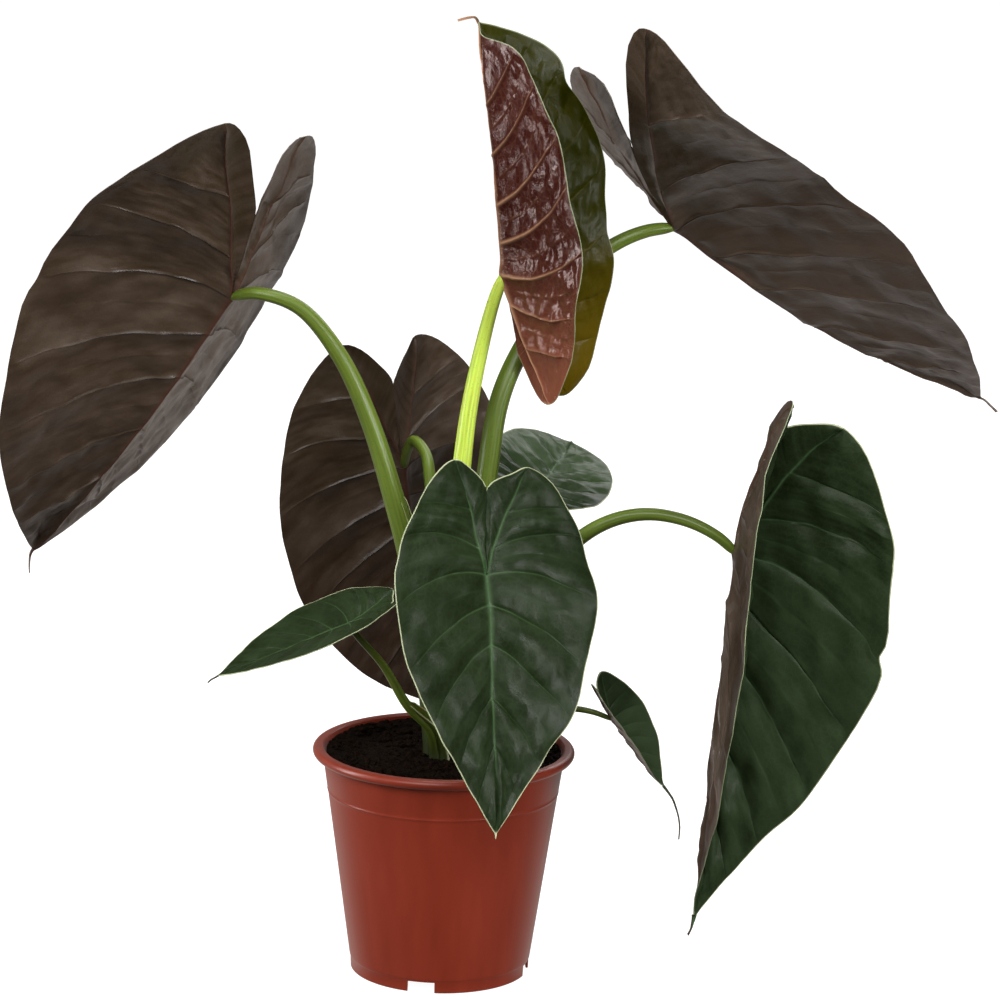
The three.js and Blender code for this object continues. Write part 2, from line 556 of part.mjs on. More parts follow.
function potGeometry() {
  const shoulder = POT_HEIGHT - SHOULDER_BELOW_RIM;
  const underBead = POT_HEIGHT - 2 * BEAD_RADIUS - 1;
  const beadCentre = RIM_RADIUS - BEAD_RADIUS;
  const points = [
    [0, 0],
    [CENTRE_FOOT_RADIUS, 0],
    [CENTRE_FOOT_RADIUS + 4, FLOOR_UNDERSIDE],
    [FOOT_RADIUS - POT_WALL - 1, FLOOR_UNDERSIDE],
    [FOOT_RADIUS - POT_WALL, 0],
    [FOOT_RADIUS, 0],
    [FOOT_RADIUS + 0.4, SKIRT_HEIGHT - 1],
    [wallRadius(SKIRT_HEIGHT), SKIRT_HEIGHT],
    [wallRadius(shoulder - 1.5), shoulder - 1.5],
    [wallRadius(shoulder) + SHOULDER_STEP, shoulder],
    [wallRadius(underBead) + SHOULDER_STEP, underBead],
  ];
  for (const angle of [-60, -30, 0, 30, 60, 90]) {
    const bead = [Math.cos(angle * RADIAN), Math.sin(angle * RADIAN)];
    points.push([beadCentre + BEAD_RADIUS * bead[0], POT_HEIGHT - BEAD_RADIUS + BEAD_RADIUS * bead[1]]);
  }
  points.push(
    [wallRadius(POT_HEIGHT) - POT_WALL + 1, POT_HEIGHT - 0.6],
    [wallRadius(POT_HEIGHT - 4) - POT_WALL, POT_HEIGHT - 4],
    [wallRadius(FLOOR_UNDERSIDE + 6) - POT_WALL, FLOOR_UNDERSIDE + 6],
    [wallRadius(FLOOR_UNDERSIDE) - POT_WALL - 4, FLOOR_UNDERSIDE + FLOOR_THICKNESS],
    [CENTRE_FOOT_RADIUS + 3, FLOOR_UNDERSIDE + FLOOR_THICKNESS],
    [CENTRE_FOOT_RADIUS - 2, FLOOR_THICKNESS],
    [0, FLOOR_THICKNESS],
  );
  const turned = new THREE.LatheGeometry(points.map(([r, z]) => new THREE.Vector2(r, z)), POT_SEGMENTS);
  turned.rotateX(Math.PI / 2);
  let pot = solidFrom(turned);
  if (pot.volume() < 0) throw new Error("the pot's profile runs the wrong way round");
  for (const angle of NOTCH_ANGLES) {
    const notch = new THREE.BoxGeometry(12, NOTCH_WIDTH, NOTCH_HEIGHT * 2);
    notch.translate(FOOT_RADIUS + 2, 0, 0);
    notch.rotateZ(angle * RADIAN);
    pot = pot.subtract(solidFrom(notch));
  }
  return geometryFrom(pot);
}

function soilGeometry() {
  const inner = (z) => wallRadius(z) - POT_WALL - FIT_GAP;
  const bottom = FLOOR_UNDERSIDE + FLOOR_THICKNESS + FIT_GAP;
  const rings = [];
  const ring = (radius, height) => Array.from({ length: SOIL_SEGMENTS }, (_, i) => {
    const angle = (i / SOIL_SEGMENTS) * 2 * Math.PI;
    const x = radius * Math.cos(angle);
    const y = radius * Math.sin(angle);
    return new THREE.Vector3(x, y, height(x, y));
  });
  const relief = (x, y) => SOIL_TOP + SOIL_RELIEF * smoothNoise(x, y) - (Math.hypot(x, y) / RIM_RADIUS) ** 4;
  // A facet of the pot's wall lies inside its circle, so the soil stands back by that much more.
  const facet = Math.cos(Math.PI / POT_SEGMENTS);
  rings.push(ring((inner(FLOOR_UNDERSIDE + 6) - 5) * facet, () => bottom));
  rings.push(ring(inner(FLOOR_UNDERSIDE + 8) * facet, () => FLOOR_UNDERSIDE + 8));
  for (let r = SOIL_RINGS; r > 0; r -= 1) rings.push(ring((inner(SOIL_TOP - 3) * facet * r) / SOIL_RINGS, relief));
  const positions = [];
  const push = (...list) => list.forEach((v) => positions.push(v.x, v.y, v.z));
  for (let r = 0; r + 1 < rings.length; r += 1) {
    for (let i = 0; i < SOIL_SEGMENTS; i += 1) {
      const j = (i + 1) % SOIL_SEGMENTS;
      push(rings[r][i], rings[r][j], rings[r + 1][j]);
      push(rings[r][i], rings[r + 1][j], rings[r + 1][i]);
    }
  }
  const floorCentre = new THREE.Vector3(0, 0, bottom);
  const topCentre = new THREE.Vector3(0, 0, relief(0, 0));
  const topRing = rings[rings.length - 1];
  for (let i = 0; i < SOIL_SEGMENTS; i += 1) {
    const j = (i + 1) % SOIL_SEGMENTS;
    push(floorCentre, rings[0][j], rings[0][i]);
    push(topRing[i], topRing[j], topCentre);
  }
  const block = new THREE.BufferGeometry().setAttribute("position", new THREE.Float32BufferAttribute(positions, 3));
  let soil = solidFrom(block);
  for (const stalk of Object.values(STALKS)) {
    const height = STEM_BURIED + 20;
    const hole = new THREE.CylinderGeometry(stalk.radii[0] + STEM_HOLE_GAP, stalk.radii[0] + STEM_HOLE_GAP, height, 16);
    hole.rotateX(Math.PI / 2);
    hole.translate(stalk.foot[0], stalk.foot[1], SOIL_TOP - STEM_BURIED - FIT_GAP + height / 2);
    soil = soil.subtract(solidFrom(hole));
  }
  return geometryFrom(soil);
}

const COLOURS = {
  pot: "#a3412c",
  soil: "#1d1410",
  youngBlade: "#5a6a2c",
  darkBlade: "#26402b",
  newStalk: "#9fc038",
  greenStalk: "#6a8a34",
};

function mesh(name, geometry, colour, roughness) {
  geometry.computeVertexNormals();
  const material = new THREE.MeshStandardMaterial({ color: colour, roughness, metalness: 0 });
  const made = new THREE.Mesh(geometry, material);
  made.name = name;
  return made;
}

const plant = new THREE.Group();
plant.name = "potted_alocasia";
plant.add(mesh("pot", potGeometry(), COLOURS.pot, 0.4));
plant.add(mesh("soil", soilGeometry(), COLOURS.soil, 0.95));
for (const [name, blade] of Object.entries(BLADES)) {
  const colour = name === "blade_new" ? COLOURS.youngBlade : COLOURS.darkBlade;
  plant.add(mesh(name, bladeGeometry(blade), colour, 0.45));
}
for (const [name, stalk] of Object.entries(STALKS)) {
  const colour = name === "stalk_new" ? COLOURS.newStalk : COLOURS.greenStalk;
  plant.add(mesh(name, stalkGeometry(stalk), colour, 0.4));
}

export default plant;
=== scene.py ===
"""The looks of a potted alocasia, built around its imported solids.

Shapes are worked out in millimetres, and scaled to metres when a piece is finished.
"""

import math
from functools import partial

import bmesh
import bpy
import numpy as np
from mathutils import Matrix, Vector, noise


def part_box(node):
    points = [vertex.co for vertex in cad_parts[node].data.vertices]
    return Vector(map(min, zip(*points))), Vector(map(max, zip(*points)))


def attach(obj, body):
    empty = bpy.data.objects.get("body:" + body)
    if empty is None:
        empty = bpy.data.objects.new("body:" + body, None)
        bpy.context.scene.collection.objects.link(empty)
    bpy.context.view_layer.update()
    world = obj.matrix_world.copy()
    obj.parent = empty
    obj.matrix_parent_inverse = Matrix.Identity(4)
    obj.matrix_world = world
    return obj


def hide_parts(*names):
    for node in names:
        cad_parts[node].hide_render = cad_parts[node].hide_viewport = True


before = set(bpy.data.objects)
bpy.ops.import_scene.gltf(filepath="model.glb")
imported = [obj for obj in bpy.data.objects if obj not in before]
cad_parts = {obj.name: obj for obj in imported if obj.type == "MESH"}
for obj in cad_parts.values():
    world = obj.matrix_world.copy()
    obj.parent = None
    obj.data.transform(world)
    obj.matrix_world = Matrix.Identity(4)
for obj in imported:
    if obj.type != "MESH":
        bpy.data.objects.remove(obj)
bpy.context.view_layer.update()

bl_info = {
    "name": "Potted Alocasia",
    "version": (1, 0, 0),
    "blender": (4, 5, 0),
    "location": "View3D > Sidebar > Alocasia",
    "description": "Builds the pot, soil, leaves and stalks of a potted alocasia",
    "category": "Add Mesh",
}

MM = 0.001

# The pot, in millimetres: the outside of its wall at the skirt and at the top, the wall's thickness,
# the skirt's height, the rim's rounding, and where the drainage notches are, in degrees.
POT_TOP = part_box("pot")[1].z / MM
WALL_FOOT, WALL_TOP, WALL = 66.0, 88.4, 1.8
SKIRT, BEAD = 10.0, 3.5
NOTCHES = (-101, -11, 79, 169)

# The soil, in millimetres: its level, how far it is banked up against the wall, and its unevenness.
SOIL_TOP, SOIL_BANK = 161.0, 3.2
LUMP_WIDTH, GRIT_WIDTH = 24, 5.5
SMALL_CRUMBS, LARGE_CRUMBS = (0.8, 2.7), (2.8, 4.6)

# Softboxes: place in metres, width, height and power in watts. Each faces the middle of the plant.
SOFTBOXES = {
    "softbox_left": ((-2.4, -0.1, 0.7), 0.5, 2.0, 70),
    "softbox_right": ((2.2, -1.7, 0.9), 0.5, 1.4, 55),
    "softbox_front": ((-0.5, -2.4, 2.0), 2.6, 1.4, 85),
    "softbox_top": ((0.3, 0.3, 2.9), 2.0, 1.6, 60),
    "softbox_back": ((0.8, 1.9, 1.5), 1.4, 0.7, 12),
}
FLOOR_SIZE_M = 60.0
# The camera, worked out from the pot's ellipses: metres, and degrees downwards and clockwise.
CAMERA_AIM, CAMERA_DISTANCE = (0.0365, 0, 0.3505), 3.225
CAMERA_PITCH, CAMERA_ROLL = 12.7, 1.35

# The flat half blade, in blade lengths: x outwards from the midrib, y from the stalk to the apex.
HALF_WIDTH_DRAWN = 0.46
LOBE_TIP = (0.19, -0.575)
# The margin from the widest place to the apex, on a narrow leaf and on a full one.
NARROW_FRONT = np.array(
    ((0.44, 0.27), (0.37, 0.46), (0.27, 0.64), (0.165, 0.77), (0.085, 0.88), (0.03, 0.96)),
)
FULL_FRONT = np.array(
    ((0.455, 0.27), (0.42, 0.46), (0.355, 0.64), (0.275, 0.78), (0.175, 0.89), (0.07, 0.965)),
)
# Side veins: (place along the midrib, below zero along the lobe's vein; place along the margin,
# counted in outline points; how far the vein bows back from a straight line; how plainly it shows).
SIDE_VEINS = (
    (-0.6, 4.9, -0.02, 0.35),
    (-0.25, 5.9, -0.07, 0.7),
    (0.0, 7.2, -0.1, 1.0),
    (0.12, 8.5, -0.07, 0.9),
    (0.27, 9.6, -0.08, 0.75),
    (0.47, 10.85, -0.055, 0.5),
    (0.67, 12.0, -0.03, 0.3),
)
LOBE_MARGIN, APEX_MARGIN = 3, 14
SINUS_ON_LOBE_VEIN = -0.45
FOLD_RADIUS = 5.0
MARGIN_WAVES = 2.2
SMALL_BLADE_LENGTH = 120.0
FAR_FROM_MARGIN = 60.0

# Blades, by their places on the plant. Angles are in degrees, lengths in millimetres, lobes and sinus
# in blade lengths, and pairs are left and right halves. at is where the stalk meets the blade.
# heading 0 points the apex along +X, pitch raises it, and roll turns the upper side to the right. bend
# and lobe_bend curve the midrib, fold raises each half towards the upper side, fold_front and
# fold_lobes add to it at the apex and at the lobes' tips, and curl adds to it towards the margin.
# fullness widens the front, inner narrows a lobe's inner edge, and sweep moves the side veins'
# ends forwards. A dent is a half, a place in blade lengths, a depth and a reach. puff is how
# far the skin swells between side veins, crinkle how far it is wrinkled, and pale how light it is.
BLADE_DEFAULTS = dict(
    young=False, twist=0, curl=(0, 0), inner=(0, 0), sweep=0, blunt_front=None, wave=(0.004, 0.004),
    wave_place=(0, 0.2), drip_half=0.9, pale_tip=False, dents=(), pale=(0, 0),
)
BLADES = {
    "left": dict(
        at=(-159, 10, 492), heading=149, pitch=-56, roll=28, length=287, width=281, bend=-16, lobe_bend=-6,
        fold=(11, 45), fold_front=(-24, -14), fold_lobes=(-29, -3), sinus=0.25, lobes=(0.86, 0.74),
        lobe_width=0.96, fullness=0.38, lobe_shift=-0.25, wave=(0.01, 0.003), wave_place=(0.06, 0.2),
        drip_tip=(-3, 0, -18), drip_half=1.5, puff=3.6, crinkle=3.0, pale=(0.1, 0.7), inner=(0, 1),
        dents=((0, 0.12, 2.5, 0.05),),
    ),
    "new": dict(
        young=True, at=(36, -10, 517), heading=188, pitch=84, roll=-25, length=179, width=166, bend=3,
        lobe_bend=-9, twist=-1, fold=(59, 55), fold_front=(1, -6), fold_lobes=(-10, -15), sinus=0.27,
        lobes=(0.94, 0.98), lobe_width=0.94, fullness=(1.0, 1.6), lobe_shift=0.2,
        blunt_front=((0.455, 0.27), (0.42, 0.46), (0.355, 0.64), (0.295, 0.79), (0.215, 0.89), (0.03, 0.945)),
        wave=(0.008, 0.012), wave_place=(0, 0.3), drip_tip=(-14, 0, 1), puff=2.2, crinkle=1.9,
        dents=((1, 0.72, 3, 0.06), (1, 0.1, 2.5, 0.06)),
    ),
    "right_high": dict(
        at=(159, 60, 542), heading=28, pitch=-38, roll=-7, length=312, width=306, bend=-20, lobe_bend=-46,
        twist=1, fold=(22, 20), fold_front=(-7, -9), fold_lobes=(-7, -23), sinus=0.28, lobes=(0.81, 1.07),
        lobe_width=1.05, fullness=0.41, lobe_shift=0.43, wave=(0, 0.01), wave_place=(0, -0.3),
        drip_tip=(14, 3, -12), drip_half=1.7, puff=2.6, crinkle=2.6, pale=(0, 0.7), inner=(1, 0),
    ),
    "rear": dict(
        at=(-36, 130, 345), heading=79, pitch=-70, roll=-39, length=204, width=192, bend=9, lobe_bend=-6,
        twist=-3, fold=(13, 16), fold_front=(4, 0), fold_lobes=(-3, 15), sinus=0.36, lobes=(0.96, 0.83),
        lobe_width=0.9, fullness=0.98, lobe_shift=-0.05, wave=(0.006, 0.006), drip_tip=(0, 3, -9),
        drip_half=1.3, puff=3.4, crinkle=2.2,
    ),
    "front": dict(
        at=(28, -100, 319), heading=-74, pitch=-71, roll=-18, length=179, width=165, bend=6, lobe_bend=-13,
        fold=(9, 7), fold_front=(4, 6), fold_lobes=(-10, 8), sinus=0.34, lobes=(0.74, 0.78),
        lobe_width=0.97, fullness=0.13, lobe_shift=-0.06, wave=(0.018, 0.004), wave_place=(0.02, 0.1),
        drip_tip=(0, -1, -4), pale_tip=True, puff=3.2, crinkle=1.9,
        dents=((0, 0.69, 3.5, 0.05), (1, 0.74, 2.5, 0.06)),
    ),
    "right_low": dict(
        at=(206, -40, 324), heading=-21, pitch=-96, roll=28, length=271, width=236, bend=-3, lobe_bend=-52,
        twist=1, fold=(51, 53), fold_front=(-11, 0), fold_lobes=(-4, -8), curl=(24, -2), sinus=0.34,
        lobes=(0.79, 0.95), lobe_width=0.92, fullness=0.04, lobe_shift=-0.01, wave=(-0.01, 0.008),
        wave_place=(-0.08, 0.1), drip_tip=(-5, 0, -14), drip_half=1.5, sweep=0.5, puff=4.0, crinkle=3.0,
        pale=(0.3, 0.35), dents=((0, 0.2, 4, 0.03), (0, 0.88, 4, 0.04), (1, 0.8, 3, 0.05)),
    ),
    "rear_right": dict(
        at=(68, 62, 350), heading=75, pitch=11, roll=24, length=92, width=94, bend=8, lobe_bend=0, twist=1,
        fold=(10, 12), fold_front=(0, 0), fold_lobes=(1, 3), sinus=0.25, lobes=(0.8, 0.7), lobe_width=1,
        fullness=0.9, lobe_shift=-0.02, drip_tip=(2, 2, -3), puff=2.0, crinkle=1.6, pale=(0.9, 0.9),
    ),
    "small_left": dict(
        at=(-69, -60, 272), heading=192, pitch=-22, roll=-2, length=99, width=91, bend=-2, lobe_bend=-6,
        twist=2, fold=(9, 14), fold_front=(-3, -1), fold_lobes=(12, -4), sinus=0.34, lobes=(0.69, 0.71),
        lobe_width=1, fullness=0.22, lobe_shift=0, drip_tip=(-7, -1, -5), drip_half=1.2, puff=1.2,
        crinkle=0.9,
    ),
    "small_right": dict(
        at=(122, -20, 195), heading=8, pitch=-58, roll=28, length=62, width=57, bend=-11, lobe_bend=-6,
        twist=2, fold=(36, 36), fold_front=(-1, 0), fold_lobes=(-2, -3), sinus=0.34, lobes=(0.97, 0.99),
        lobe_width=1.02, fullness=0.47, lobe_shift=0.02, drip_tip=(13, 0, -40), drip_half=1.5, puff=0.9,
        crinkle=0.6, pale=(1.6, 1.6),
    ),
}
BLADES = {place: {**BLADE_DEFAULTS, **own} for place, own in BLADES.items()}
SEEN_FROM_BELOW = ("left", "right_high", "rear")

# Stalks, by their blades' places. foot: where it enters the soil. radii: at the soil and at the blade.
# path: points it passes. sheath: the side its open sheath faces in degrees, how far up it reaches as a
# share of the stalk, and its height.
STALKS = {
    "left": dict(
        foot=(-6, 4), radii=(9.5, 4.3), taper=1.5, sheath=(-20, 0.47, 7),
        path=(
            (-12, 1, 220), (-27, -2, 305), (-39, -2, 349), (-58, 0, 407), (-80, 1, 453), (-109, 0, 487),
            (-138, -2, 497),
        ),
    ),
    "new": dict(
        foot=(14, 0), radii=(8.5, 4.1), taper=1.7, sheath=(60, 0.4, 5),
        path=((5, -8, 308), (9, -9, 381), (14, -8, 425), (22, -7, 468), (29, -8, 497)),
    ),
    "right_high": dict(
        foot=(25, 15), radii=(8.8, 4.4), taper=1.9, sheath=(-150, 0.5, 0.6),
        path=(
            (20, 14, 275), (27, 18, 370), (35, 24, 421), (52, 34, 460), (80, 44, 501), (112, 50, 528),
            (136, 53, 539),
        ),
    ),
    "rear": dict(
        foot=(6, 18.5), radii=(8, 3.4), sheath=(200, 0.4, 6),
        path=((-5, 34, 267), (-15, 62, 350), (-19, 80, 366), (-28, 97, 372), (-33, 110, 362)),
    ),
    "front": dict(
        foot=(21.5, -17.5), radii=(8.5, 3.6), sheath=(100, 0.4, 6),
        path=((20, -28, 250), (20, -42, 305), (19, -58, 327), (20, -76, 331)),
    ),
    "right_low": dict(
        foot=(33, -3), radii=(8.5, 3.8), sheath=(170, 0.4, 6),
        path=(
            (44, -10, 230), (62, -18, 285), (86, -24, 322), (112, -28, 342), (140, -32, 350),
            (168, -36, 347), (191, -40, 337),
        ),
    ),
    "rear_right": dict(
        foot=(42, 14), radii=(6.5, 3), sheath=(180, 0.35, 5),
        path=((43, 24, 230), (51, 44, 300), (62, 56, 333)),
    ),
    "small_left": dict(
        foot=(-6, -14), radii=(4.5, 2.3), sheath=(-10, 0.4, 9),
        path=((-10, -24, 186), (-26, -36, 206), (-44, -48, 239), (-62, -57, 262)),
    ),
    "small_right": dict(
        foot=(38, -18), radii=(4, 1.8), sheath=(120, 0.2, 2),
        path=((43, -17, 175), (64, -15, 192), (88, -16, 201), (106, -18, 200)),
    ),
}
# How deep a stalk stands in the soil, how far above it it rises straight up, and how far it ends
# below its blade's midrib, as in the solids.
STEM_BURIED, STEM_UPRIGHT, STEM_GAP = 26.0, 6.0, 0.3
RING_SPACING, STEM_SIDES = 3.5, 36
WING_COLUMNS, WING_THICKNESS = 8, 0.7


# ---------------------------------------------------------------- settings


def linear(hex_colour):
    """An sRGB hex value, such as "7a2c1e", as linear red, green, blue and an alpha of 1."""
    values = [int(hex_colour[i : i + 2], 16) / 255 for i in (0, 2, 4)]
    return tuple(v / 12.92 if v <= 0.04045 else ((v + 0.055) / 1.055) ** 2.4 for v in values) + (1.0,)


def colour_setting(name, description, hex_colour):
    return bpy.props.FloatVectorProperty(
        name=name, description=description, subtype="COLOR", size=4, min=0, max=1, default=linear(hex_colour)
    )


def length_setting(name, description, metres):
    return bpy.props.FloatProperty(
        name=name, description=description, subtype="DISTANCE", unit="LENGTH", min=0, default=metres
    )


class AlocasiaSizes(bpy.types.PropertyGroup):
    """Sizes that a user may change."""

    blade_thickness: length_setting("Blade Thickness", "Thickness of a large blade", 0.001)
    small_blade_thickness: length_setting("Small Blade Thickness", "Thickness of a small blade", 0.0008)
    midrib_height: length_setting("Midrib Height", "How far the midrib stands proud below", 0.002)
    vein_height: length_setting("Vein Height", "How far a side vein stands proud below", 0.0009)
    groove_depth: length_setting("Groove Depth", "How deep the veins lie in the upper side", 0.00035)
    soil_relief: length_setting("Soil Relief", "Height of the lumps in the soil", 0.0026)
    crumb_count: bpy.props.IntProperty(name="Crumbs", description="Crumbs on the soil", min=0, default=900)


class AlocasiaColours(bpy.types.PropertyGroup):
    """Colours that a user may change."""

    upper: colour_setting("Upper Side", "Upper side of a grown leaf", "17200e")
    upper_light: colour_setting("Upper Side, Light", "Lighter patches of the upper side", "3e4e34")
    upper_vein: colour_setting("Upper Veins", "Veins of the upper side", "4b6843")
    under: colour_setting("Underside", "Underside of a grown leaf", "332619")
    under_light: colour_setting("Underside, Light", "Lighter patches of the underside", "5a4c41")
    under_vein: colour_setting("Underside Veins", "Side veins of the underside", "1a110b")
    under_midrib: colour_setting("Underside Midrib", "Midrib of the underside", "4a2c22")
    margin: colour_setting("Margin", "Pale rim of a grown leaf", "b4ba96")
    young_upper: colour_setting("Young Upper Side", "Upper side of the new leaf", "232702")
    young_upper_light: colour_setting("Young Lobes", "Lobes of the new leaf, upper side", "685508")
    young_under: colour_setting("Young Underside", "Underside of the new leaf", "310f0d")
    young_under_light: colour_setting("Young Lobes Below", "Lobes of the new leaf, underside", "854c3a")
    young_vein: colour_setting("Young Veins", "Veins of the new leaf, underside", "b5896a")
    stalk: colour_setting("Stalk", "Grown stalk", "5a6c24")
    stalk_dark: colour_setting("Stalk Foot", "Foot of a grown stalk", "20270c")
    young_stalk: colour_setting("Young Stalk", "Stalk of the new leaf", "bdd652")
    pot: colour_setting("Pot", "Moulded plastic of the pot", "7b2a17")
    soil: colour_setting("Soil", "Moist potting soil", "0d0703")
    soil_light: colour_setting("Soil, Dry", "Dry crumbs and fibres in the soil", "45270f")


# ---------------------------------------------------------------- curves and noise


def bell(x):
    """A smooth bump, 1 at zero and nearly 0 past 2."""
    return np.exp(-(x**2))


def apart(a, b):
    return np.linalg.norm(a - b, axis=1)


def unit(vectors):
    return vectors / np.linalg.norm(vectors, axis=1)[:, None]


def curve_at(points, place):
    """Points of the smooth curve through the given points, at places counted in points."""
    last = len(points) - 1
    index = np.clip(np.floor(place).astype(int), 0, last - 1)
    t = (place - index)[:, None]
    padded = np.vstack([2 * points[0] - points[1], points, 2 * points[-1] - points[-2]])
    a, b, c, d = (padded[index + k] for k in range(4))
    square = 2 * a - 5 * b + 4 * c - d
    cube = 3 * b - a - 3 * c + d
    return 0.5 * (2 * b + (c - a) * t + square * t**2 + cube * t**3)


def smooth_noise(points, size, seed, octaves=3):
    """Fractal noise of about -1 to 1 at each point; size is the width of its largest lumps."""
    offset = Vector((seed * 17.3, seed * 5.7, seed * 11.9))
    return np.array([noise.fractal(Vector(p).to_3d() / size + offset, 1.0, 2.0, octaves) for p in points])


# ---------------------------------------------------------------- leaf shape


class Drawing:
    """One half of the flat blade, in blade lengths: its outline and the rays its side veins follow."""

    def __init__(self, blade, side):
        half = 1 if side > 0 else 0
        self.lobe, inner = blade["lobes"][half], blade["inner"][half]
        self.sinus, wide = blade["sinus"], blade["lobe_width"]
        front = NARROW_FRONT + (FULL_FRONT - NARROW_FRONT) * np.broadcast_to(blade["fullness"], 2)[half]
        if side < 0 and blade["blunt_front"]:
            front = blade["blunt_front"]
        notch = -self.sinus - 0.35 * (-LOBE_TIP[1] * self.lobe - self.sinus)
        self.outline = np.array([
            (0, -self.sinus),
            ((0.035 - 0.03 * inner) * wide, notch),
            ((0.105 - 0.06 * inner) * wide, (-0.535 - 0.035 * inner) * self.lobe),
            (LOBE_TIP[0] * wide, LOBE_TIP[1] * self.lobe),
            (0.29 * (1 + wide) / 2, -0.5 * self.lobe),
            (0.375, -0.335 * self.lobe),
            (0.435, -0.13),
            (0.46, 0.08),
            *front,
            (blade["drip_half"] / blade["length"], 1),
        ])
        starts, margins, bows, _ = zip(*SIDE_VEINS)
        self.starts = [-1, *starts, 1]
        swept = [margin + blade["sweep"] * (1 - abs(start)) for start, margin in zip(starts, margins)]
        self.margins = [LOBE_MARGIN, *swept, APEX_MARGIN]
        self.bows = [0, *bows, 0]

    def spine(self, t):
        """The midrib where t is above zero, and the lobe's vein below."""
        s = np.maximum(-t, 0)
        tip = self.outline[LOBE_MARGIN]
        x = 2 * s * (1 - s) * 0.05 + s**2 * tip[0]
        y = np.where(t >= 0, t, 2 * s * (1 - s) * -0.25 * self.lobe + s**2 * tip[1])
        return np.stack([x, y], -1)

    def ray(self, t, w):
        """A point on the line from the spine at t to the margin, w of the way along."""
        start = self.spine(t)
        end = curve_at(self.outline, np.interp(t, self.starts, self.margins))
        place = start + (end - start) * w[:, None]
        place[:, 1] += np.interp(t, self.starts, self.bows) * 2 * w * (1 - w)
        return place

    def web(self, t, w):
        """A point between the lobe's vein at t and the sinus or the inner edge of the lobe."""
        start = self.spine(t)
        reach = np.clip((t - SINUS_ON_LOBE_VEIN) / (-1 - SINUS_ON_LOBE_VEIN), 0, 1)
        edge = curve_at(self.outline, reach * LOBE_MARGIN)
        axis = np.stack([np.zeros_like(t), -self.sinus * t / SINUS_ON_LOBE_VEIN], -1)
        end = np.where((t > SINUS_ON_LOBE_VEIN)[:, None], axis, edge)
        return start + (end - start) * w[:, None]


class Surface:
    """Where the points of a flat blade lie in space, in millimetres."""

    def __init__(self, blade):
        self.blade = blade
        heading, pitch, roll = (math.radians(blade[k]) for k in ("heading", "pitch", "roll"))
        ch, sh, cp, sp = math.cos(heading), math.sin(heading), math.cos(pitch), math.sin(pitch)
        self.along = np.array([ch * cp, sh * cp, sp])
        level = np.array([-ch * sp, -sh * sp, cp])
        self.upper = level * math.cos(roll) + np.cross(self.along, level) * math.sin(roll)
        self.across = np.cross(self.along, self.upper)
        before, self.apex = self.bent(np.zeros(2), blade["length"] - np.array([1.0, 0.0]))
        self.apex_along = (self.apex - before) / np.linalg.norm(self.apex - before)

    def bent(self, x, y):
        """The blade without its drip tip: folded, then twisted, then bent."""
        blade = self.blade
        length, half = blade["length"], blade["width"] / 2
        s = y / length
        front, back = np.maximum(s, 0), np.maximum(-s, 0)
        right = (x > 0).astype(int)
        keys = ("fold", "fold_front", "fold_lobes", "curl", "wave", "wave_place")
        fold, at_front, at_lobes, curl, wave, wave_place = (np.array(blade[k], float)[right] for k in keys)
        turn = np.radians(np.where(s > 0, blade["bend"], blade["lobe_bend"])) / length
        turn = np.where(np.abs(turn) < 1e-9, 1e-9, turn)
        angle = turn * y
        run, drop = np.sin(angle) / turn, (1 - np.cos(angle)) / turn
        fold = np.radians(fold + at_front * front + at_lobes * back / -LOBE_TIP[1])
        width = np.abs(x)
        rounded = np.minimum(width, FOLD_RADIUS)
        straight = width - rounded
        bow = np.radians(curl) * straight / half / 2
        turned = fold * rounded / FOLD_RADIUS
        sideways = rounded * np.cos(turned / 2) + straight * np.cos(fold + bow)
        raised = rounded * np.sin(turned / 2) + straight * np.sin(fold + bow)
        wave = wave * length * (width / half) ** 2
        raised = raised + wave * np.sin(MARGIN_WAVES * 2 * np.pi * (s - wave_place))
        sideways = sideways * np.where(right, 1, -1) + blade["lobe_shift"] * length * back
        twist = math.radians(blade["twist"]) * s
        shifted = sideways * np.cos(twist) - raised * np.sin(twist)
        lifted = sideways * np.sin(twist) + raised * np.cos(twist)
        place = np.array(blade["at"], float) + self.along * (run + lifted * np.sin(angle))[:, None]
        return place + self.upper * (lifted * np.cos(angle) - drop)[:, None] + self.across * shifted[:, None]

    def place(self, x, y):
        """The whole blade: past the apex, the drip tip curves away."""
        length = self.blade["length"]
        tip = np.array(self.blade["drip_tip"], float)
        reach = np.linalg.norm(tip)
        t = (np.maximum(y - length, 0) / reach)[:, None]
        drip = self.apex + self.apex_along * reach * t * (1 - t) + tip * t**2 + self.across * x[:, None]
        return np.where((y > length)[:, None], drip, self.bent(x, np.minimum(y, length)))

    def facing(self, x, y):
        """The direction in which the upper side faces."""
        step = 0.4
        sideways = self.place(x + step, y) - self.place(x - step, y)
        forward = self.place(x, y + step) - self.place(x, y - step)
        return unit(np.cross(sideways, forward))


def blade_rows(length, fine):
    """Places along the spine of the blade's rows, close together at each side vein."""
    places = [-1.0, -0.97, -0.93, -0.88, -0.82, -0.76, -0.7, 0.9, 0.93, 0.955, 0.975, 0.99, 1.0]
    starts = [vein[0] for vein in SIDE_VEINS]
    for start, end in zip(starts, [*starts[1:], 0.9]):
        middle = (start + end) / 2
        near_vein, near_middle = (0, 0.35, 0.8, 1.4, 2.3, 3.6), (0, 0.6, 1.4)
        for centre, steps in ((start, near_vein), (middle, near_middle)):
            places += [centre + sign * step / length for step in steps for sign in (-1, 1)]
        gaps = 10 if fine else 6
        places += [start + (end - start) * k / gaps for k in range(1, gaps) if 2 * k != gaps]
    return np.unique(np.round(places, 6))


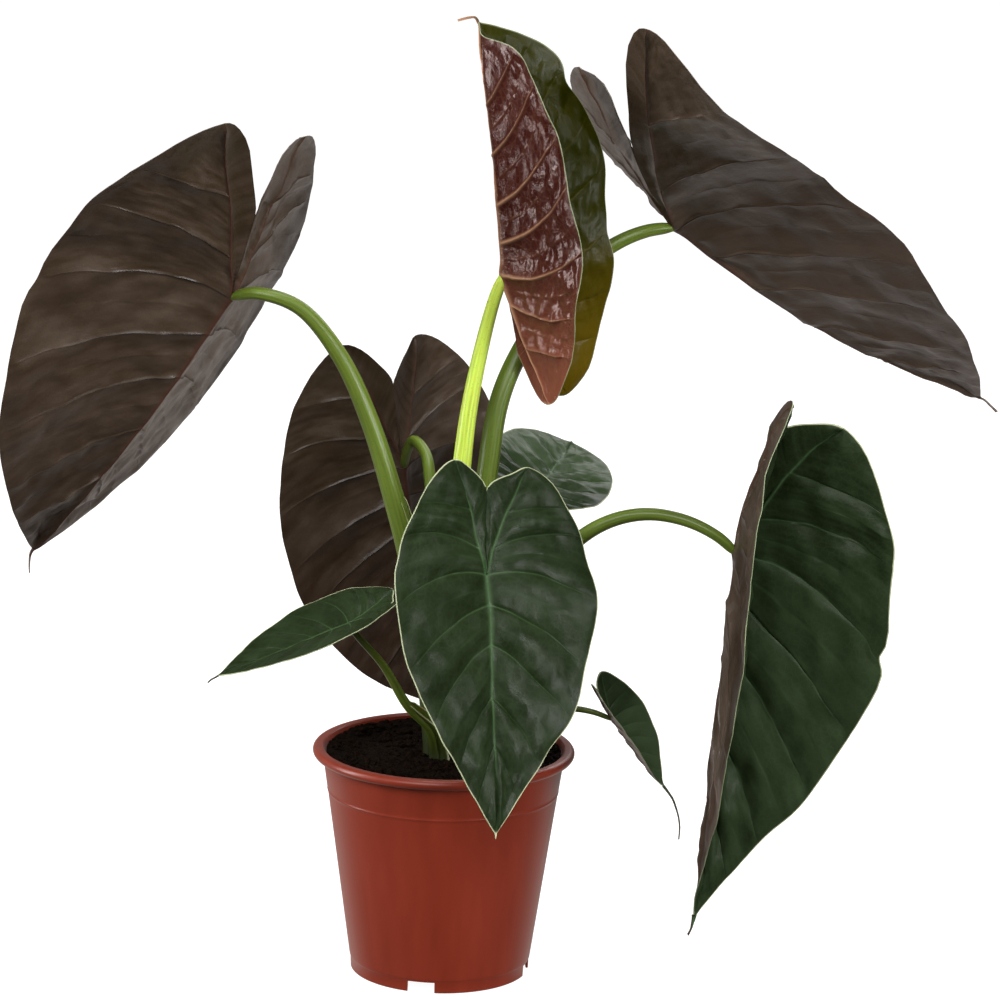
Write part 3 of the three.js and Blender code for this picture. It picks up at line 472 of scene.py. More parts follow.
def blade_columns(fine):
    """Places from the spine to the margin of the blade's columns, close together at both."""
    near = [0, 0.004, 0.009, 0.015, 0.023, 0.034, 0.05]
    return np.array([*near, *np.linspace(0.075, 0.94, 60 if fine else 30), 0.96, 0.975, 0.986, 0.994, 1.0])


# The parts of half a blade: outside its spine, inside the lobe's vein, and the drip tip.
MAIN, WEB, DRIP = 1, 2, 3
WEB_COLUMNS = np.array([0, 0.012, 0.03, 0.06, 0.11, 0.2, 0.3, 0.42, 0.54, 0.66, 0.78, 0.88, 0.95, 0.98, 1])
# The order of a blade's materials.
UPPER_SIDE, UNDERSIDE, RIM = 0, 1, 2
SHELL_FIELDS = ("t", "w", "patch", "shell")


def blade_mesh(blade, sizes):
    """The blade as a closed shell, with the fields that its materials read."""
    length = float(blade["length"])
    small, fine = length < SMALL_BLADE_LENGTH, blade["young"]
    scale = 0.5 if small else 1.0
    thickness = (sizes.small_blade_thickness if small else sizes.blade_thickness) / MM
    rows, columns = blade_rows(length, fine), blade_columns(fine)
    tip_reach = float(np.linalg.norm(blade["drip_tip"])) / length
    drip_rows = 1 + tip_reach * np.linspace(0, 1, 12)

    bm = bmesh.new()
    layers = {name: bm.verts.layers.float.new(name) for name in SHELL_FIELDS}
    grids = ((MAIN, rows, columns), (WEB, rows[rows <= 0], WEB_COLUMNS), (DRIP, drip_rows, columns))
    for side in (-1, 1):
        for kind, down, over in grids:
            last_row, last_column = len(down) - 1, len(over) - 1
            made = bmesh.ops.create_grid(bm, x_segments=last_column, y_segments=last_row, size=1)
            for vert in made["verts"]:
                vert[layers["t"]] = down[round((vert.co.y + 1) / 2 * last_row)]
                vert[layers["w"]] = over[round((vert.co.x + 1) / 2 * last_column)]
                vert[layers["patch"]] = side * kind

    t, w, patch = (np.array([vert[layers[k]] for vert in bm.verts]) for k in ("t", "w", "patch"))
    flat = np.zeros((len(t), 2))
    stretch = blade["width"] / (2 * HALF_WIDTH_DRAWN)
    for side in (-1, 1):
        drawing = Drawing(blade, side)
        for kind, line in ((MAIN, drawing.ray), (WEB, drawing.web)):
            chosen = patch == side * kind
            flat[chosen] = line(t[chosen], w[chosen]) * [side * stretch, length]
        last = (patch == side * MAIN) & (t == 1)
        flat[last, 0] = side * w[last] * blade["drip_half"]
        chosen = patch == side * DRIP
        narrowing = 1 - 0.75 * ((t[chosen] - 1) / tip_reach) ** 0.7
        drip = np.stack([w[chosen] * blade["drip_half"] / length * narrowing, t[chosen]], -1)
        flat[chosen] = drip * [side * length, length]
    for vert, (x, y) in zip(bm.verts, flat):
        vert.co = (x, y, 0)
    bmesh.ops.remove_doubles(bm, verts=bm.verts, dist=0.003)
    bm.normal_update()
    bmesh.ops.reverse_faces(bm, faces=[f for f in bm.faces if f.normal.z < 0])

    # The sheet becomes a closed shell: the copy is the upper side, and the sheet the underside.
    under_faces = list(bm.faces)
    made = bmesh.ops.extrude_face_region(bm, geom=under_faces, use_keep_orig=True)
    for element in made["geom"]:
        if isinstance(element, bmesh.types.BMVert):
            element[layers["shell"]] = 1
    for face in bm.faces:
        shells = [vert[layers["shell"]] for vert in face.verts]
        in_drip = min(vert[layers["t"]] for vert in face.verts) >= 1 and not blade["pale_tip"]
        rim = UNDERSIDE if in_drip else RIM
        face.material_index = UPPER_SIDE if min(shells) == 1 else UNDERSIDE if max(shells) == 0 else rim
    bmesh.ops.reverse_faces(bm, faces=[f for f in under_faces if f.is_valid])

    fields = {k: np.array([vert[layers[k]] for vert in bm.verts]) for k in SHELL_FIELDS}
    flat = np.array([vert.co[:2] for vert in bm.verts])
    fields.update(blade_fields(blade, fields, flat, scale))
    for vert, point in zip(bm.verts, blade_places(blade, fields, flat, thickness, scale, sizes)):
        vert.co = point
    bmesh.ops.recalc_face_normals(bm, faces=bm.faces)
    for name in SHELL_FIELDS:
        bm.verts.layers.float.remove(bm.verts.layers.float[name])
    return bm, fields, flat


def blade_fields(blade, fields, flat, scale):
    """For each vertex: how much vein it is, how far from the margin, and its place between veins."""
    length = float(blade["length"])
    t, w, patch = fields["t"], fields["w"], fields["patch"]
    vein, ridge, faint, between, rib, midrib = (np.zeros(len(t)) for _ in range(6))
    edge = np.full(len(t), FAR_FROM_MARGIN)
    bold = 1.7 if blade["young"] else 1.0
    for side in (-1, 1):
        drawing = Drawing(blade, side)
        size = np.array([side * blade["width"] / (2 * HALF_WIDTH_DRAWN), length])
        main, web, drip = (patch == side * kind for kind in (MAIN, WEB, DRIP))
        reach = 1 - w[main]
        for i, (start, _, _, weight) in enumerate(SIDE_VEINS):
            away = apart(flat[main], drawing.ray(np.full(main.sum(), start), w[main]) * size) * 0.8
            raised = bell(away / (bold * scale * (0.3 + 0.6 * reach**0.8))) * reach**0.7
            ridge[main] = np.maximum(ridge[main], raised)
            line = bell(away / (bold * scale * (0.25 + 0.4 * reach)))
            vein[main] = np.maximum(vein[main], line * ((0.15 + 0.85 * reach**0.7) * weight))
            if i + 1 < len(SIDE_VEINS):
                middle = (start + SIDE_VEINS[i + 1][0]) / 2
                away = apart(flat[main], drawing.ray(np.full(main.sum(), middle), w[main]) * size) * 0.8
                line = bell(away / (0.9 * scale)) * np.minimum(1, w[main] * 6) * reach**0.5
                faint[main] = np.maximum(faint[main], line)
        place = np.interp(t[main], drawing.starts, np.arange(len(drawing.starts)))
        swell = np.abs(np.sin(np.pi * place)) ** 0.9
        between[main] = swell * np.sin(np.pi * np.clip(w[main], 0, 1) ** 0.8)
        between[web] = 0.5 * np.sin(np.pi * w[web])
        edge[main] = apart(flat[main], drawing.ray(t[main], np.ones(main.sum())) * size)
        away = apart(flat[web], drawing.web(t[web], np.ones(web.sum())) * size)
        edge[web] = np.where(t[web] <= SINUS_ON_LOBE_VEIN, away, FAR_FROM_MARGIN)
        if blade["pale_tip"]:
            edge[drip] = 0
        spine = drawing.spine(np.minimum(t, 1)) * size
        spine[:, 1] = np.where(t > 1, flat[:, 1], spine[:, 1])
        own = patch * side > 0
        away, run, lobe = apart(flat, spine)[own], np.minimum(np.abs(t[own]), 1), t[own] < 0
        half = scale * np.where(lobe, 2.0 * (1 - run) + 0.5, 2.7 * (1 - 0.8 * run) + 0.3)
        rib[own] = bell(away / half) * np.where(lobe, 0.9 * (1 - run) + 0.1, 1 - 0.75 * run)
        midrib[own] = bell(away / (0.8 * half))
    along_ray = np.where(np.abs(patch) == MAIN, w, 0.3) * np.sign(patch)
    grain = np.column_stack([t * length, along_ray * 0.3 * blade["width"] / 2, np.zeros(len(t))])
    return dict(
        vein=vein, ridge=ridge, faint=faint, edge=edge, between=between, rib=rib, midrib=midrib, grain=grain
    )


def grown_unevenly(blade, flat, scale):
    """The flat drawing, stretched a little here and there and dented along its margin."""
    away = np.linalg.norm(flat, axis=1)
    held = np.clip(away / (30 * scale), 0, 1) * np.clip((1.06 * blade["length"] - flat[:, 1]) / 30, 0, 1)
    grown = flat.copy()
    for axis in (0, 1):
        seed = blade["at"][0] * 0.21 + 7 * axis
        grown[:, axis] += 1.9 * scale * held * smooth_noise(flat, 62 * scale, seed)
    for half, place, depth, reach in blade["dents"]:
        sign = 1 if half else -1
        near = bell((flat[:, 1] / blade["length"] - place) / reach)
        pull = depth * near * (np.abs(flat[:, 0]) / (blade["width"] / 2)) ** 2 * sign
        grown[:, 0] -= np.where(flat[:, 0] * sign > 0, pull * min(3.0, 1 / max(0.2, 1 - place)), 0)
    return grown


def blade_places(blade, fields, flat, thickness, scale, sizes):
    """The vertices' places: the bent drawing, swollen between the veins and raised over them."""
    surface = Surface(blade)
    x, y = grown_unevenly(blade, flat, scale).T
    rib, ridge, faint, edge = (fields[k] for k in ("rib", "ridge", "faint", "edge"))
    crinkle, seed = blade["crinkle"], blade["at"][0] * 0.37 + 3
    inner = np.clip(edge / 8, 0, 1) * (1 - rib)
    lumps = crinkle * smooth_noise(flat * [1, 1.3], 30 * scale + 8, seed) * inner
    if blade["young"]:
        # Puckers all over, strongest away from the midrib of the left half.
        folds, small_folds = smooth_noise(flat, 20, seed + 4), smooth_noise(flat, 8, seed + 14, 2)
        puckers = 1.3 * (0.7 - 2.0 * np.abs(folds)) + 0.45 * (0.7 - 2.0 * np.abs(small_folds))
        patchy = np.clip(0.75 + 0.8 * smooth_noise(flat, 60, seed + 21, 2), 0.25, 1.3)
        outward = np.clip(0.35 + 1.5 * np.abs(flat[:, 0]) / blade["width"], 0, 1)
        quiet = np.where(flat[:, 0] > 0, 0.5, 0.95 * patchy * outward)
        lumps = quiet * (lumps + crinkle * puckers * inner * (1 - ridge))
    else:
        # Long soft folds that run with the side veins, and creases across them.
        lumps += 0.5 * crinkle * smooth_noise(fields["grain"], 15 * scale + 4, seed + 2, 2) * inner
        folds = smooth_noise(flat, 22 * scale + 5, seed + 4)
        lumps += 0.45 * crinkle * (0.5 - 1.8 * np.abs(folds)) * inner * (1 - ridge)
    ruffle = np.exp(-edge / 12) * 2.0 * scale * smooth_noise(flat, 34 * scale + 10, seed + 9)
    shift = blade["puff"] * fields["between"] + lumps + ruffle
    half = thickness / 2 * (0.45 + 0.55 * np.clip(edge / (4 * scale), 0, 1))
    joint = bell(np.linalg.norm(flat, axis=1) / (7 * scale))
    raised = sizes.midrib_height / MM * scale * (rib + 0.8 * joint)
    raised = np.maximum(raised, sizes.vein_height / MM * scale * ridge)
    raised = raised + 0.35 * scale * faint * (rib < 0.3)
    groove = sizes.groove_depth / MM * scale * np.clip(rib + ridge + 0.3 * faint, 0, 1)
    offset = np.where(fields["shell"] == 1, half - groove, -half - raised * np.clip(edge / 2, 0, 1))
    return surface.place(x, y) + surface.facing(x, y) * (shift + offset)[:, None]


# ---------------------------------------------------------------- stalk shape


def centripetal_curve(points, per_span=24):
    """Dense points on the smooth curve through the points, with knots spaced by the chords' roots."""
    points = np.array(points, float)
    padded = np.vstack([2 * points[0] - points[1], points, 2 * points[-1] - points[-2]])
    t = np.linspace(0, 1, per_span, endpoint=False)[:, None]
    dense = []
    for i in range(len(points) - 1):
        p0, p1, p2, p3 = padded[i : i + 4]
        d0, d1, d2 = (math.sqrt(np.linalg.norm(b - a)) for a, b in ((p0, p1), (p1, p2), (p2, p3)))
        m1 = ((p1 - p0) / d0 - (p2 - p0) / (d0 + d1) + (p2 - p1) / d1) * d1
        m2 = ((p2 - p1) / d1 - (p3 - p1) / (d1 + d2) + (p3 - p2) / d2) * d1
        square, cube = -3 * p1 + 3 * p2 - 2 * m1 - m2, 2 * p1 - 2 * p2 + m1 + m2
        dense.append(p1 + m1 * t + square * t**2 + cube * t**3)
    return np.vstack([*dense, points[-1:]])


class Sweep:
    """A stalk's centre line, with the directions across it."""

    def __init__(self, stalk, blade):
        x, y = stalk["foot"]
        self.facing = Surface(blade).facing(np.zeros(1), np.array([0.5]))[0]
        self.end = np.array(blade["at"], float) - self.facing * STEM_GAP
        upright = [(x, y, SOIL_TOP + rise) for rise in (-STEM_BURIED, -5, STEM_UPRIGHT)]
        self.points = centripetal_curve([*upright, *stalk["path"], self.end])
        self.travel = np.concatenate([[0], np.cumsum(apart(self.points[1:], self.points[:-1]))])
        self.length = self.travel[-1]
        self.along = unit(np.gradient(self.points, axis=0))
        sideways = np.array([1.0, 0, 0])
        self.sideways = np.zeros_like(self.along)
        for i, direction in enumerate(self.along):
            sideways = sideways - direction * sideways.dot(direction)
            sideways /= np.linalg.norm(sideways)
            self.sideways[i] = sideways

    def around(self, travel, radius, turn):
        """Points round the stalk: where they are, their places on a straight stalk, and its direction."""
        centre, along, sideways = (
            np.stack([np.interp(travel, self.travel, source[:, k]) for k in range(3)], -1)
            for source in (self.points, self.along, self.sideways)
        )
        along = unit(along)
        sideways = unit(sideways - along * np.sum(sideways * along, axis=1)[:, None])
        x, y = radius * np.cos(turn), radius * np.sin(turn)
        place = centre + sideways * x[:, None] + np.cross(along, sideways) * y[:, None]
        return place, np.column_stack([x, y, travel]), along


STEM_FIELDS = ("stem_x", "stem_y", "stem_z", "above_soil", "in_wing")


def stalk_mesh(stalk, blade):
    """The stalk's tube and the two thin wings of its sheath, with the fields that its material reads."""
    sweep = Sweep(stalk, blade)
    foot_radius, top_radius = stalk["radii"]
    open_side, reach, height = stalk["sheath"]
    open_side = math.radians(open_side)
    straight = STEM_BURIED + STEM_UPRIGHT - 2
    rest = sweep.length - straight
    rings = int(sweep.length / RING_SPACING)
    bm = bmesh.new()
    layers = [bm.verts.layers.float.new(name) for name in STEM_FIELDS]

    def add_sheet(columns, rows, shape):
        """Adds a grid and puts it where shape says, given the places over it and up it."""
        before = len(bm.verts)
        bmesh.ops.create_grid(bm, x_segments=columns, y_segments=rows, size=1)
        verts = list(bm.verts)[before:]
        over, up = (np.array([vert.co[:2] for vert in verts]).T + 1) / 2
        places, stem, above, wing = shape(over, up)
        rows = np.column_stack([stem * MM, above, wing])
        for vert, place, row in zip(verts, places, rows):
            vert.co = place
            for layer, value in zip(layers, row):
                vert[layer] = value
        return verts

    def radius_at(above):
        return foot_radius + (top_radius - foot_radius) * above ** stalk.get("taper", 0.8)

    def tube(over, up):
        turn, travel = over * 2 * np.pi, up * sweep.length
        above = np.clip((travel - straight) / rest, 0, 1)
        to_end = sweep.length - travel
        radius = radius_at(above) * (1 - 0.35 * bell(to_end / (1.6 * top_radius)))
        to_sheath = np.clip(np.cos(turn - open_side), 0, 1) ** 3
        channel = 0.22 * np.clip(1 - above / reach, 0, 1) * np.clip(above * 20, 0, 1)
        radius = radius * (1 - channel * to_sheath - 0.07 * to_sheath)
        radius = radius * (1 + 0.012 * np.cos(9 * turn) * np.clip(above * 6, 0, 1))
        place, stem, along = sweep.around(travel, radius, turn)
        # The last rings are drawn onto the plane of the blade, so that the stalk opens into the midrib.
        off_plane = np.sum((place - sweep.end) * sweep.facing, axis=1)
        slope = np.sum(along * sweep.facing, axis=1)
        slope = np.where(np.abs(slope) < 0.25, 0.25 * np.sign(slope + 1e-9), slope)
        at_end = to_end < 0.01
        pull = np.where(at_end, 1, np.clip(1 - to_end / (2.2 * top_radius), 0, 1) ** 1.5)
        off_plane = np.where(at_end, off_plane, np.maximum(off_plane, 0))
        place = place - along * (off_plane / slope * pull)[:, None]
        return place, stem, above, np.zeros(len(above))

    def wing(sign, over, up):
        """A thin sheet along the open side, highest at the foot, ending in a short ear."""
        travel = straight - 8 + (rest * reach + 8) * up
        above = np.clip((travel - straight) / rest, 0, 1)
        rise = height * (1 - up) ** 0.3 * (0.55 + 0.45 * (1 - up))
        angle = open_side + sign * (0.75 - 0.35 * over * (1 - 0.4 * up))
        place, stem, _ = sweep.around(travel, radius_at(above) * 0.86 + rise * over, angle)
        return place, stem, above, over

    tube_verts = add_sheet(STEM_SIDES, rings, tube)
    tube_faces = len(bm.faces)
    for sign in (-1, 1):
        add_sheet(WING_COLUMNS, max(12, int(rings * reach)), partial(wing, sign))

    # The tube's seam is joined and its ends are capped, and the wings get a thickness.
    wing_faces = list(bm.faces)[tube_faces:]
    wing_set = set(wing_faces)
    bmesh.ops.remove_doubles(bm, verts=tube_verts, dist=0.002)
    ends = [edge for edge in bm.edges if edge.is_boundary and edge.link_faces[0] not in wing_set]
    bmesh.ops.holes_fill(bm, edges=ends, sides=0)
    bmesh.ops.recalc_face_normals(bm, faces=[face for face in bm.faces if face not in wing_set])
    bmesh.ops.solidify(bm, geom=wing_faces, thickness=WING_THICKNESS)
    bmesh.ops.recalc_face_normals(bm, faces=bm.faces)
    table = np.array([[vert[layer] for layer in layers] for vert in bm.verts])
    for name in STEM_FIELDS:
        bm.verts.layers.float.remove(bm.verts.layers.float[name])
    return bm, {"stem": table[:, :3], "above": table[:, 3], "wing": table[:, 4]}


# ---------------------------------------------------------------- materials


def add_node(tree, kind, inputs=(), **settings):
    """Adds a node with its settings and links.

    inputs fill the node's shown sockets in order, or go to sockets by their names. Each is a value, a
    socket, or a node that stands for its first shown output.
    """
    made = tree.nodes.new("ShaderNode" + kind)
    for key, value in settings.items():
        setattr(made, key, value)
    shown = [socket for socket in made.inputs if socket.enabled]
    for key, value in inputs.items() if isinstance(inputs, dict) else enumerate(inputs):
        target = made.inputs[key] if isinstance(key, str) else shown[key]
        if isinstance(value, bpy.types.Node):
            value = next(socket for socket in value.outputs if socket.enabled)
        if isinstance(value, bpy.types.NodeSocket):
            tree.links.new(value, target)
        else:
            target.default_value = value
    return made


def blade_skin(add, colours, tones, cloudy, net, faint, vein, midrib, rim, creases, bump, roughness,
               specular, tint="ffffff"):
    """A blade's skin: cloudy colour, a fine net of small veins, coloured veins and a pale margin."""
    base, light, vein_tone, midrib_tone = (getattr(colours, key) for key in tones)
    flat, grain_place = (add("Attribute", attribute_name=n).outputs["Vector"] for n in ("flat", "grain"))
    on_vein, on_midrib, on_faint, edge, pale = (
        add("Attribute", attribute_name=n).outputs["Fac"] for n in ("vein", "midrib", "faint", "edge", "pale")
    )
    # Cloudy patches about 45 mm wide, and streaks about 9 mm wide that run with the side veins.
    clouds = add("TexNoise", [flat, 22.0, 4.0])
    streaks = add("TexNoise", [grain_place, 110.0, 3.0])
    mottled = add("Math", [streaks, clouds], operation="MULTIPLY")
    patches = add("MapRange", [mottled, 0.12, 0.5, 0.0, cloudy])
    lightness = add("Math", [pale, 0.9, patches], operation="MULTIPLY_ADD", use_clamp=True)
    colour = add("Mix", [lightness, base, light], data_type="RGBA")
    # The net of the smallest veins, in cells about 5 mm wide.
    cells = add("TexVoronoi", {"Vector": flat, "Scale": 190.0, "Randomness": 0.9}, feature="DISTANCE_TO_EDGE")
    net_line = add("MapRange", [cells, 0.0, 0.12, 1.0, 0.0])
    net_line = add("Math", [net_line, net], operation="MULTIPLY")
    faint_line = add("Math", [on_faint, faint], operation="MULTIPLY")
    lines = add("Math", [net_line, faint_line], operation="MAXIMUM")
    side_line = add("Math", [on_vein, vein], operation="MULTIPLY")
    lines = add("Math", [lines, side_line], operation="MAXIMUM", use_clamp=True)
    colour = add("Mix", [lines, colour, vein_tone], data_type="RGBA")
    middle = add("Math", [on_midrib, midrib], operation="MULTIPLY")
    colour = add("Mix", [middle, colour, midrib_tone], data_type="RGBA")
    # The margin is a pale line about 1 mm wide.
    rim_line = add("MapRange", [edge, 0.3, 1.0, rim, 0.0])
    colour = add("Mix", [rim_line, colour, colours.margin], data_type="RGBA")
    # Relief: pores 1 mm wide, drawn coarser than real ones so that they show, creases 9 mm wide and the net.
    pores = add("TexNoise", [flat, 900.0, 2.0])
    folds = add("TexNoise", [flat, 110.0, 5.0])
    height = add("Math", [folds, creases, net_line], operation="MULTIPLY_ADD")
    height = add("Math", [pores, 0.12, height], operation="MULTIPLY_ADD")
    relief = add("Bump", {"Height": height, "Strength": bump, "Distance": 0.0012})
    gloss = add("MapRange", [streaks, 0.3, 0.7, roughness - 0.06, roughness + 0.1])
    return add("BsdfPrincipled", {
        "Base Color": colour, "Roughness": gloss, "IOR": 1.45, "Specular IOR Level": specular,
        "Specular Tint": linear(tint), "Normal": relief,
    })


def blade_rim(add, colours, tones, roughness):
    """The gristly rim of a blade, a thin patchy line."""
    flat = add("Attribute", attribute_name="flat").outputs["Vector"]
    patches = add("TexNoise", [flat, 60.0, 3.0])
    colour = add("Mix", [patches, *(getattr(colours, key) for key in tones)], data_type="RGBA")
    return add("BsdfPrincipled", {"Base Color": colour, "Roughness": roughness, "IOR": 1.45})


def stalk_skin(add, colours, tones, glow):
    """A stalk's skin: smooth and watery, with fine streaks along it and small specks."""
    base, foot = (getattr(colours, key) for key in tones)
    stem = add("Attribute", attribute_name="stem").outputs["Vector"]
    above, wing = (add("Attribute", attribute_name=n).outputs["Fac"] for n in ("above", "wing"))
    # Streaks 1.5 mm wide and 60 mm long, and specks 2.4 mm apart.
    stretched = add("Mapping", {"Vector": stem, "Scale": (1.0, 1.0, 0.025)})
    streaks = add("TexNoise", [stretched, 650.0, 3.0])
    specks = add("TexVoronoi", {"Vector": stem, "Scale": 420.0})
    speck_mask = add("MapRange", [specks, 0.08, 0.2, 0.45, 0.0])
    rise = add("MapRange", [above, 0.0, 0.45, 0.0, 1.0])
    colour = add("Mix", [rise, foot, base], data_type="RGBA")
    tone = add("MapRange", [streaks, 0.35, 0.65, 0.8, 1.2])
    colour = add("VectorMath", [colour, tone], operation="SCALE")
    colour = add("Mix", [speck_mask, colour, foot], data_type="RGBA")
    rim_line = add("MapRange", [wing, 0.8, 0.97, 0.0, 0.6])
    colour = add("Mix", [rim_line, colour, colours.margin], data_type="RGBA")
    relief = add("Bump", {"Height": streaks, "Strength": 0.25, "Distance": 0.0006})
    return add("BsdfPrincipled", {
        "Base Color": colour, "Roughness": 0.36, "IOR": 1.42, "Specular IOR Level": 0.5, "Normal": relief,
        "Subsurface Weight": glow, "Subsurface Scale": 0.004,
    })


def pot_plastic(add, colours):
    """The pot's plastic: satin and slightly cloudy, with faint flow marks up the wall."""
    place = add("TexCoord").outputs["Object"]
    # Flow marks 12 mm wide. Mould grain of 0.9 mm, coarser than the real 0.2 mm so that it shows.
    stretched = add("Mapping", {"Vector": place, "Scale": (1.0, 1.0, 0.12)})
    flow = add("TexNoise", [stretched, 80.0, 4.0])
    grain = add("TexNoise", [place, 1100.0, 2.0])
    tone = add("MapRange", [flow, 0.3, 0.7, 0.93, 1.07])
    colour = add("VectorMath", [colours.pot[:3], tone], operation="SCALE")
    gloss = add("MapRange", [flow, 0.3, 0.7, 0.33, 0.41])
    relief = add("Bump", {"Height": grain, "Strength": 0.12, "Distance": 0.0003})
    return add("BsdfPrincipled", {
        "Base Color": colour, "Roughness": gloss, "IOR": 1.49, "Specular IOR Level": 0.4, "Normal": relief,
        "Sheen Weight": 0.15, "Sheen Roughness": 0.4, "Sheen Tint": linear("ffede7"),
    })


def potting_mix(add, colours):
    """Peat and bark: nearly black and matt, with dry brown flecks."""
    place = add("TexCoord").outputs["Object"]
    # Crumbs of 3 mm, flecks of 1.2 mm and drier patches of 14 mm.
    crumbs = add("TexVoronoi", {"Vector": place, "Scale": 330.0})
    dust = add("TexNoise", [place, 800.0, 5.0, 0.7])
    patches = add("TexNoise", [place, 70.0, 4.0])
    flecks = add("MapRange", [dust, 0.52, 0.72, 0.0, 0.8])
    dry = add("Math", [flecks, patches], operation="MULTIPLY", use_clamp=True)
    colour = add("Mix", [dry, colours.soil, colours.soil_light], data_type="RGBA")
    height = add("Math", [dust, 0.6, crumbs], operation="MULTIPLY_ADD")
    relief = add("Bump", {"Height": height, "Strength": 0.9, "Distance": 0.0016})
    return add("BsdfPrincipled", {
        "Base Color": colour, "Roughness": 0.88, "Specular IOR Level": 0.05, "Normal": relief,
    })


def lit_acrylic(add, colours):
    """The floor glows nearly white, and takes soft shadows."""
    glow = add("Emission", [linear("ffffff"), 0.97])
    matt = add("BsdfDiffuse", [linear("959595")])
    return add("AddShader", [glow, matt])


# Each finish: what makes it, and its settings. A blade's tones are its skin, its light patches, its veins
# and its midrib. cloudy to rim say how far each of those and the margin's colour show, net and faint
# are the smallest veins, and creases and bump are the relief.
FINISHES = {
    # Leathery skin, brown and waxy: it takes a grey sheen where it turns away.
    "leathery_leaf_underside": (blade_skin, dict(
        tones=("under", "under_light", "under_vein", "under_midrib"), cloudy=0.8, net=0.06, faint=0.08,
        vein=0.9, midrib=0.8, rim=0.0, creases=1.0, bump=0.4, roughness=0.36, specular=0.42,
    )),
    # Waxy skin, deep green, with pale thin veins and a pale margin.
    "waxy_leaf_upper": (blade_skin, dict(
        tones=("upper", "upper_light", "upper_vein", "upper_vein"), cloudy=0.4, net=0.05, faint=0.1,
        vein=0.45, midrib=0.55, rim=1.0, creases=0.8, bump=0.3, roughness=0.36, specular=0.12,
    )),
    # New skin, still thin and glossy: maroon, wrinkled, with tan veins.
    "glossy_young_underside": (blade_skin, dict(
        tones=("young_under", "young_under_light", "young_vein", "young_vein"), cloudy=0.15, net=0.05,
        faint=0.1, vein=1.0, midrib=1.0, rim=0.35, creases=1.2, bump=0.5, roughness=0.2, specular=0.24,
        tint="ffe7e2",
    )),
    # New skin, olive green, turning yellow at the lobes.
    "glossy_young_upper": (blade_skin, dict(
        tones=("young_upper", "young_upper_light", "young_upper_light", "young_upper_light"), cloudy=0.1,
        net=0.05, faint=0.1, vein=0.4, midrib=0.4, rim=0.4, creases=1.0, bump=0.4, roughness=0.36,
        specular=0.12,
    )),
    # Gristly rim of a blade: pale beside the dark skin.
    "pale_leaf_margin": (blade_rim, dict(tones=("margin", "upper_vein"), roughness=0.45)),
    # The same rim seen from below: brown.
    "dark_leaf_margin": (blade_rim, dict(tones=("under", "under_light"), roughness=0.5)),
    # Smooth watery skin of a grown stalk: green, darker at its foot.
    "smooth_stalk_skin": (stalk_skin, dict(tones=("stalk", "stalk_dark"), glow=0.1)),
    # Skin of the newest stalk: bright lime green, letting some light through.
    "fresh_stalk_skin": (stalk_skin, dict(tones=("young_stalk", "stalk"), glow=0.25)),
    # Injection moulded polypropylene: satin, slightly cloudy.
    "moulded_polypropylene": (pot_plastic, {}),
    # Moist potting soil: nearly black, matt and crumbly.
    "moist_potting_soil": (potting_mix, {}),
    # White acrylic sheet, lit so evenly that it shows no edge.
    "white_acrylic_floor": (lit_acrylic, {}),
}


def finish(name):
    """The named material, made when it is first asked for."""
    material = bpy.data.materials.get(name)
    if material is None:
        material = bpy.data.materials.new(name)
        material.use_nodes = True
        tree = material.node_tree
        tree.nodes.clear()
        build, settings = FINISHES[name]
        shader = build(partial(add_node, tree), bpy.context.scene.alocasia_colours, **settings)
        add_node(tree, "OutputMaterial", [shader])
    return material


# ---------------------------------------------------------------- pieces


def new_object(name, bm, unit_size=MM):
    """Makes an object of a bmesh, which is in millimetres unless its unit says otherwise."""
    bmesh.ops.scale(bm, vec=[unit_size] * 3, verts=bm.verts)
    mesh = bpy.data.meshes.new(name)
    bm.to_mesh(mesh)
    bm.free()
    made = bpy.data.objects.new(name, mesh)
    bpy.context.scene.collection.objects.link(made)
    return made


def finish_piece(name, bm, node, finishes, sharp_angle, fields=None):
    """Turns a bmesh in millimetres into a shown piece that rides on the frame."""
    piece = new_object(name, bm)
    mesh = piece.data
    for key, values in (fields or {}).items():
        kind, part = ("FLOAT", "value") if values.ndim == 1 else ("FLOAT_VECTOR", "vector")
        attribute = mesh.attributes.new(key, kind, "POINT")
        attribute.data.foreach_set(part, values.astype(np.float32).ravel())
    for finish_name in finishes:
        mesh.materials.append(finish(finish_name))
    smooth(mesh, sharp_angle)
    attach(piece, "root")
    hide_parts(node)
    return piece


def smooth(mesh, sharp_angle):
    """Shades a mesh smooth, apart from edges that turn by more than an angle in degrees."""
    mesh.polygons.foreach_set("use_smooth", [True] * len(mesh.polygons))
    if sharp_angle:
        mesh.set_sharp_from_angle(angle=math.radians(sharp_angle))


